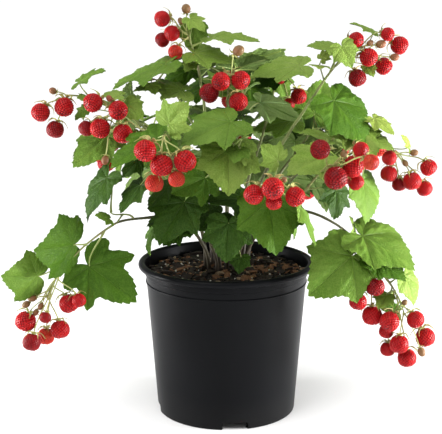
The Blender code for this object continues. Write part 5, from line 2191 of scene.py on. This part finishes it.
@dataclass
class Twigs:
    """The masses' stems, the finer twigs and the petioles."""

    growth: Growth
    stem_sides: int = 8
    stem_steps: int = 18
    petiole_sides: int = 6
    petiole_steps: int = 8
    petiole_taper: tuple[float, float] = (1.15, 0.75)
    sunk: float = 1.5 * MM

    def shoot(self, path: Path, sides: int, steps: int, sunk: float, swell: float) -> bmesh.types.BMesh:
        """A slim tube whose foot is sunk in its carrier and swells a little.

        Args:
            path: Its path.
            sides: Its sides.
            steps: Its steps.
            sunk: How far its foot goes back.
            swell: How much wider the foot is.

        Returns:
            The mesh.
        """
        rings = list(path.rings(steps))
        shaped = []
        for k, (place, turn, radius) in enumerate(rings):
            foot = swell * math.exp(-(((k / steps) * 7) ** 2))
            shaped.append(Ring(place, turn, radius * (1 + foot)))
        back = shaped[0].turn @ Vector((0, 0, -sunk))
        first = Ring(shaped[0].place + back, shaped[0].turn, shaped[0].radius * 0.9)
        return swept([first, *shaped], sides)

    def build(self) -> None:
        """Builds the stems, twigs and petioles."""
        wood = Piece("spray_stems", Slot.FOLIAGE, TWIG.material())
        for spray in SPRAYS:
            stem = self.growth.stems[spray.name]
            wood.add(self.shoot(stem, self.stem_sides, self.stem_steps, self.sunk, 0.1))
        for twig in self.growth.twigs:
            wood.add(self.shoot(twig, self.petiole_sides, self.petiole_steps, self.sunk / 2, 0.2))
        wood.done([spray.name for spray in SPRAYS])
        green = Piece("petioles", Slot.FOLIAGE, PETIOLE.material())
        for leaf in self.growth.leaves:
            petiole = leaf.petiole
            slim = min(1.0, 0.55 + leaf.size / (90 * MM))
            first, last = self.petiole_taper
            radius = petiole.radii[0] * slim
            petiole.radii = (radius * first, radius * last)
            green.add(self.shoot(petiole, self.petiole_sides, self.petiole_steps, 0, 0.5))
        green.done()


@dataclass
class Blades:
    """The leaf blades, each bent in its own way, in one piece for each green."""

    growth: Growth
    large: LeafPattern = LeafPattern()
    small: LeafPattern = LeafPattern(spokes=48, rings=4, tooth=0.07, vein_width=0.014)
    least_large: float = 24 * MM
    patterns: int = 4
    curl: tuple[float, float] = (-0.05, 0.09)
    fold: tuple[float, float] = (-0.02, 0.1)
    twist: tuple[float, float] = (-0.12, 0.12)

    def tone_of(self, leaf: GrownLeaf, chance: random.Random) -> Tone:
        """A leaf's green: its own in the table, or its mass's, lighter on a small leaf."""
        tones = TONES[leaf.mass]
        if leaf.is_pinned:
            return tones[leaf.number]
        # A mass given dark green for its shade keeps that painted shade on every leaf.
        if tones[-1] == Tone.DARK:
            return Tone.DARK
        tone = tones[-1].value - (leaf.size < self.least_large) + chance.choice((0, 0, 0, 1, -1))
        return Tone(min(max(tone, 0), len(Tone) - 1))

    def bend(self, data: bpy.types.Mesh, chance: random.Random) -> None:
        """Curls, folds and twists a blade that points along +Y."""
        curl, fold, twist = (chance.uniform(*ends) for ends in (self.curl, self.fold, self.twist))
        for vert in data.vertices:
            x, y, z = vert.co
            vert.co.z = z - curl * y * y + fold * abs(x) + twist * x * y

    def build(self) -> None:
        """Builds the blades."""
        large = [self.large.build(seed) for seed in range(self.patterns)]
        small = [self.small.build(seed) for seed in range(self.patterns)]
        below = UNDERSIDE.material()
        pieces = {}
        for tone, look in LEAF_TOPS.items():
            name = tone.name.lower()
            vein = StemFinish(f"vein_{name}", look.vein, look.colour).material()
            pieces[tone] = Piece(f"leaves_{name}", Slot.FOLIAGE, look.material(), below, vein)
        chance = random.Random(7)
        for leaf in self.growth.leaves:
            choice = large if leaf.size >= self.least_large else small
            data = choice[chance.randrange(self.patterns)].copy()
            self.bend(data, chance)
            scale = Matrix.Scale(leaf.size, 4)
            pieces[self.tone_of(leaf, chance)].add_copy(data, leaf.blade @ scale)
            bpy.data.meshes.remove(data)
        for piece in pieces.values():
            piece.done()


@dataclass
class Fruit:
    """The berries with their calyxes and stalks, and the buds beside them."""

    growth: Growth
    berry: BerryPattern = BerryPattern()
    calyx: CalyxPattern = CalyxPattern()
    patterns: int = 3
    stalk_sides: int = 6
    stalk_steps: int = 8
    bud_radius: float = 0.55 * MM
    bud_shape: tuple[float, float, float] = (0.9, 0.9, 1.15)
    bud_calyx: tuple[float, float, float] = (0.95, 0.95, -1.15)
    first_bud: float = 0.98
    bud_spacing: float = 0.08

    def ripeness_of(self, berry: GrownBerry) -> Ripeness:
        """How ripe a berry is: its own in the table, or ripe."""
        return UNLIKE.get(berry.mass, {}).get(berry.number, Ripeness.RIPE)

    def build(self) -> None:
        """Builds the berries, calyxes, stalks and buds."""
        self.green = Piece("calyxes", Slot.FOLIAGE, SEPAL.material())
        self.stalks = Piece("berry_stalks", Slot.FOLIAGE, PEDICEL.material())
        self.buds = Piece("buds", Slot.FOLIAGE, BUD.material())
        self.calyxes = [self.calyx.build(seed) for seed in range(self.patterns + 1)]
        self.chance = random.Random(11)
        shapes = [self.berry.build(seed) for seed in range(self.patterns)]
        # The core's finish is painted shade for the creases between the drupelets.
        heart = BERRY_CORE_SHADE.material()
        pieces = {}
        for ripeness, look in BERRIES.items():
            skin = look.material()
            for side in ("left", "right"):
                name = f"berries_{ripeness.name.lower()}_{side}"
                pieces[ripeness, side] = Piece(name, Slot.FOLIAGE, skin, heart)
        for berry in self.growth.berries:
            ripeness = self.ripeness_of(berry)
            if ripeness == Ripeness.BUD:
                self.add_bud(berry.stalk, berry.middle, berry.down, berry.radius)
                continue
            turn = (-berry.down).to_track_quat("Z", "Y")
            turn @= Quaternion(UP, self.chance.uniform(0, math.tau))
            pose = Matrix.LocRotScale(berry.middle, turn, Vector((1, 1, 1)) * berry.radius)
            shape = shapes[self.chance.randrange(self.patterns)]
            pieces[ripeness, "left" if berry.middle.x < 0 else "right"].add_copy(shape, pose)
            self.green.add_copy(self.chance.choice(self.calyxes), pose)
            self.add_stalk(berry.stalk)
        self.set_buds()
        for piece in (*pieces.values(), self.green, self.stalks, self.buds):
            piece.done()

    def add_stalk(self, path: Path) -> None:
        """Adds a berry's or a bud's stalk."""
        shoot = Twigs(self.growth).shoot(path, self.stalk_sides, self.stalk_steps, 0, 0.4)
        self.stalks.add(shoot)

    def add_bud(self, stalk: Path, middle: Vector, heading: Vector, radius: float) -> None:
        """Adds a closed bud on its stalk, with its sepals folded over it.

        Args:
            stalk: The stalk's path.
            middle: The bud's middle.
            heading: The way that its tip points.
            radius: Its radius.
        """
        turn = heading.to_track_quat("Z", "Y")
        place = Matrix.LocRotScale(middle, turn, Vector(self.bud_shape) * radius)
        body = bmesh.new()
        bmesh.ops.create_uvsphere(body, u_segments=12, v_segments=9, radius=1, matrix=place)
        self.buds.add(body)
        folded = Matrix.LocRotScale(middle, turn, Vector(self.bud_calyx) * radius)
        self.green.add_copy(self.chance.choice(self.calyxes), folded)
        self.add_stalk(stalk)

    def set_buds(self) -> None:
        """Sets the listed buds, where they are free."""
        space = self.growth.space
        for spray in SPRAYS:
            stem = self.growth.stems[spray.name]
            has_depth = isinstance(spray.berries, Cluster)
            depth = spray.berries.depth if has_depth else stem.at(1).y / MM
            for i, (across, up, radius) in enumerate(BUDS.get(spray.name, ())):
                middle = seen(across, up, depth)
                root = stem.on_tube(self.first_bud - self.bud_spacing * i, self.growth.twig_steps)
                heading = (middle - root).normalized()
                plain = bmesh.new()
                place = Matrix.Translation(middle)
                bmesh.ops.create_icosphere(plain, subdivisions=1, radius=radius * MM, matrix=place)
                if space.is_free(plain, (spray.name, spray.name + " stalk")):
                    radii = (self.bud_radius, self.bud_radius)
                    leaving = mixed((1, 0.4), (heading, UP))
                    stalk = Path(root, leaving, middle, heading, radii)
                    self.add_bud(stalk, middle, heading, radius * MM)
                    space.add(plain, spray.name + " bud")
                else:
                    plain.free()
        LOG.info("the buds are set")


# The studio


@dataclass
class Studio:
    """A pale floor, soft lights and a camera at the photograph's angle."""

    camera_place: tuple[float, float, float] = (-0.0051, -1.1, 0.4259)
    camera_pitch: float = 12.19
    focal_pixels: float = 1185.8
    image_width: int = 442
    sensor: float = 36.0
    floor_size: float = 60.0
    floor_colour: Colour = (0.96, 0.96, 0.96)
    sky: float = 0.46
    sun: float = 2.35
    sun_angle: float = 70.0
    sun_heading: tuple[float, float, float] = (0.22, 0.22, -1.0)

    def build_floor(self) -> None:
        """Lays the floor, plain and pale."""
        mesh = bmesh.new()
        bmesh.ops.create_grid(mesh, x_segments=1, y_segments=1, size=self.floor_size / 2)
        floor = bpy.data.objects.new("studio_floor", pattern_of(mesh))
        bpy.context.scene.collection.objects.link(floor)
        shader = Shader("studio_paper")
        paper = shader.mixed(shader.grain(3, 2), self.floor_colour, self.floor_colour)
        floor.data.materials.append(shader.finish(paper, 0.9))
        floor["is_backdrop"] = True

    def hang_light(
        self, name: str, place: Sequence[float], goal: Sequence[float], size: Sequence[float], power: float
    ) -> None:
        """Hangs a soft box.

        Args:
            name: Its name.
            place: Its middle.
            goal: What it points at.
            size: Its width and height.
            power: Its power in watts.
        """
        data = bpy.data.lights.new(name, "AREA")
        data.shape = "RECTANGLE"
        data.size, data.size_y = size
        data.energy = power
        item = bpy.data.objects.new(name, data)
        item.location = place
        item.rotation_euler = (Vector(goal) - Vector(place)).to_track_quat("-Z", "Y").to_euler()
        bpy.context.scene.collection.objects.link(item)

    def build(self) -> None:
        """Builds the studio."""
        self.build_floor()
        world = bpy.data.worlds.new("studio_air")
        world.use_nodes = True
        air = world.node_tree.nodes["Background"]
        air.inputs["Color"].default_value = (1, 1, 1, 1)
        air.inputs["Strength"].default_value = self.sky
        bpy.context.scene.world = world
        sun = bpy.data.lights.new("soft_sun", "SUN")
        sun.energy = self.sun
        sun.angle = math.radians(self.sun_angle)
        lamp = bpy.data.objects.new("soft_sun", sun)
        lamp.rotation_euler = Vector(self.sun_heading).to_track_quat("-Z", "Y").to_euler()
        bpy.context.scene.collection.objects.link(lamp)
        bpy.context.scene.view_settings.view_transform = "Standard"
        self.hang_light("key_box", (-0.7, -1.0, 1.3), (0, 0, 0.25), (0.7, 0.7), 5)
        self.hang_light("left_strip", (-0.9, -0.05, 0.12), (0, 0, 0.06), (0.25, 0.22), 11)
        self.hang_light("right_strip", (0.88, -0.15, 0.12), (0, 0, 0.06), (0.25, 0.22), 20)
        data = bpy.data.cameras.new("camera")
        data.sensor_fit = "HORIZONTAL"
        data.sensor_width = self.sensor
        data.lens = self.focal_pixels / self.image_width * self.sensor
        camera = bpy.data.objects.new("camera", data)
        camera.location = self.camera_place
        camera.rotation_euler = (math.radians(90 - self.camera_pitch), 0, 0)
        bpy.context.scene.collection.objects.link(camera)
        bpy.context.scene.camera = camera


def write_sizes() -> None:
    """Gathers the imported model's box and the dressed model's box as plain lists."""
    boxes = {"cad": CAD_BOX, "visual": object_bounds()}
    plain = {name: [list(corner) for corner in box] for name, box in boxes.items()}


def main() -> None:
    """Builds the studio, the pot, the mix and the plant."""
    logging.basicConfig(level=logging.INFO, format="%(message)s")
    Studio().build()
    pot = NurseryPot()
    pot.build()
    PottingMix(pot).build()
    growth = Growth()
    growth.grow()
    growth.grow_twiglets(TwigletSizes())
    LOG.info("%d leaves, %d berries", len(growth.leaves), len(growth.berries))
    Canes(growth).build()
    Twigs(growth).build()
    Blades(growth).build()
    Fruit(growth).build()
    write_sizes()


if __name__ == "__main__":
    main()
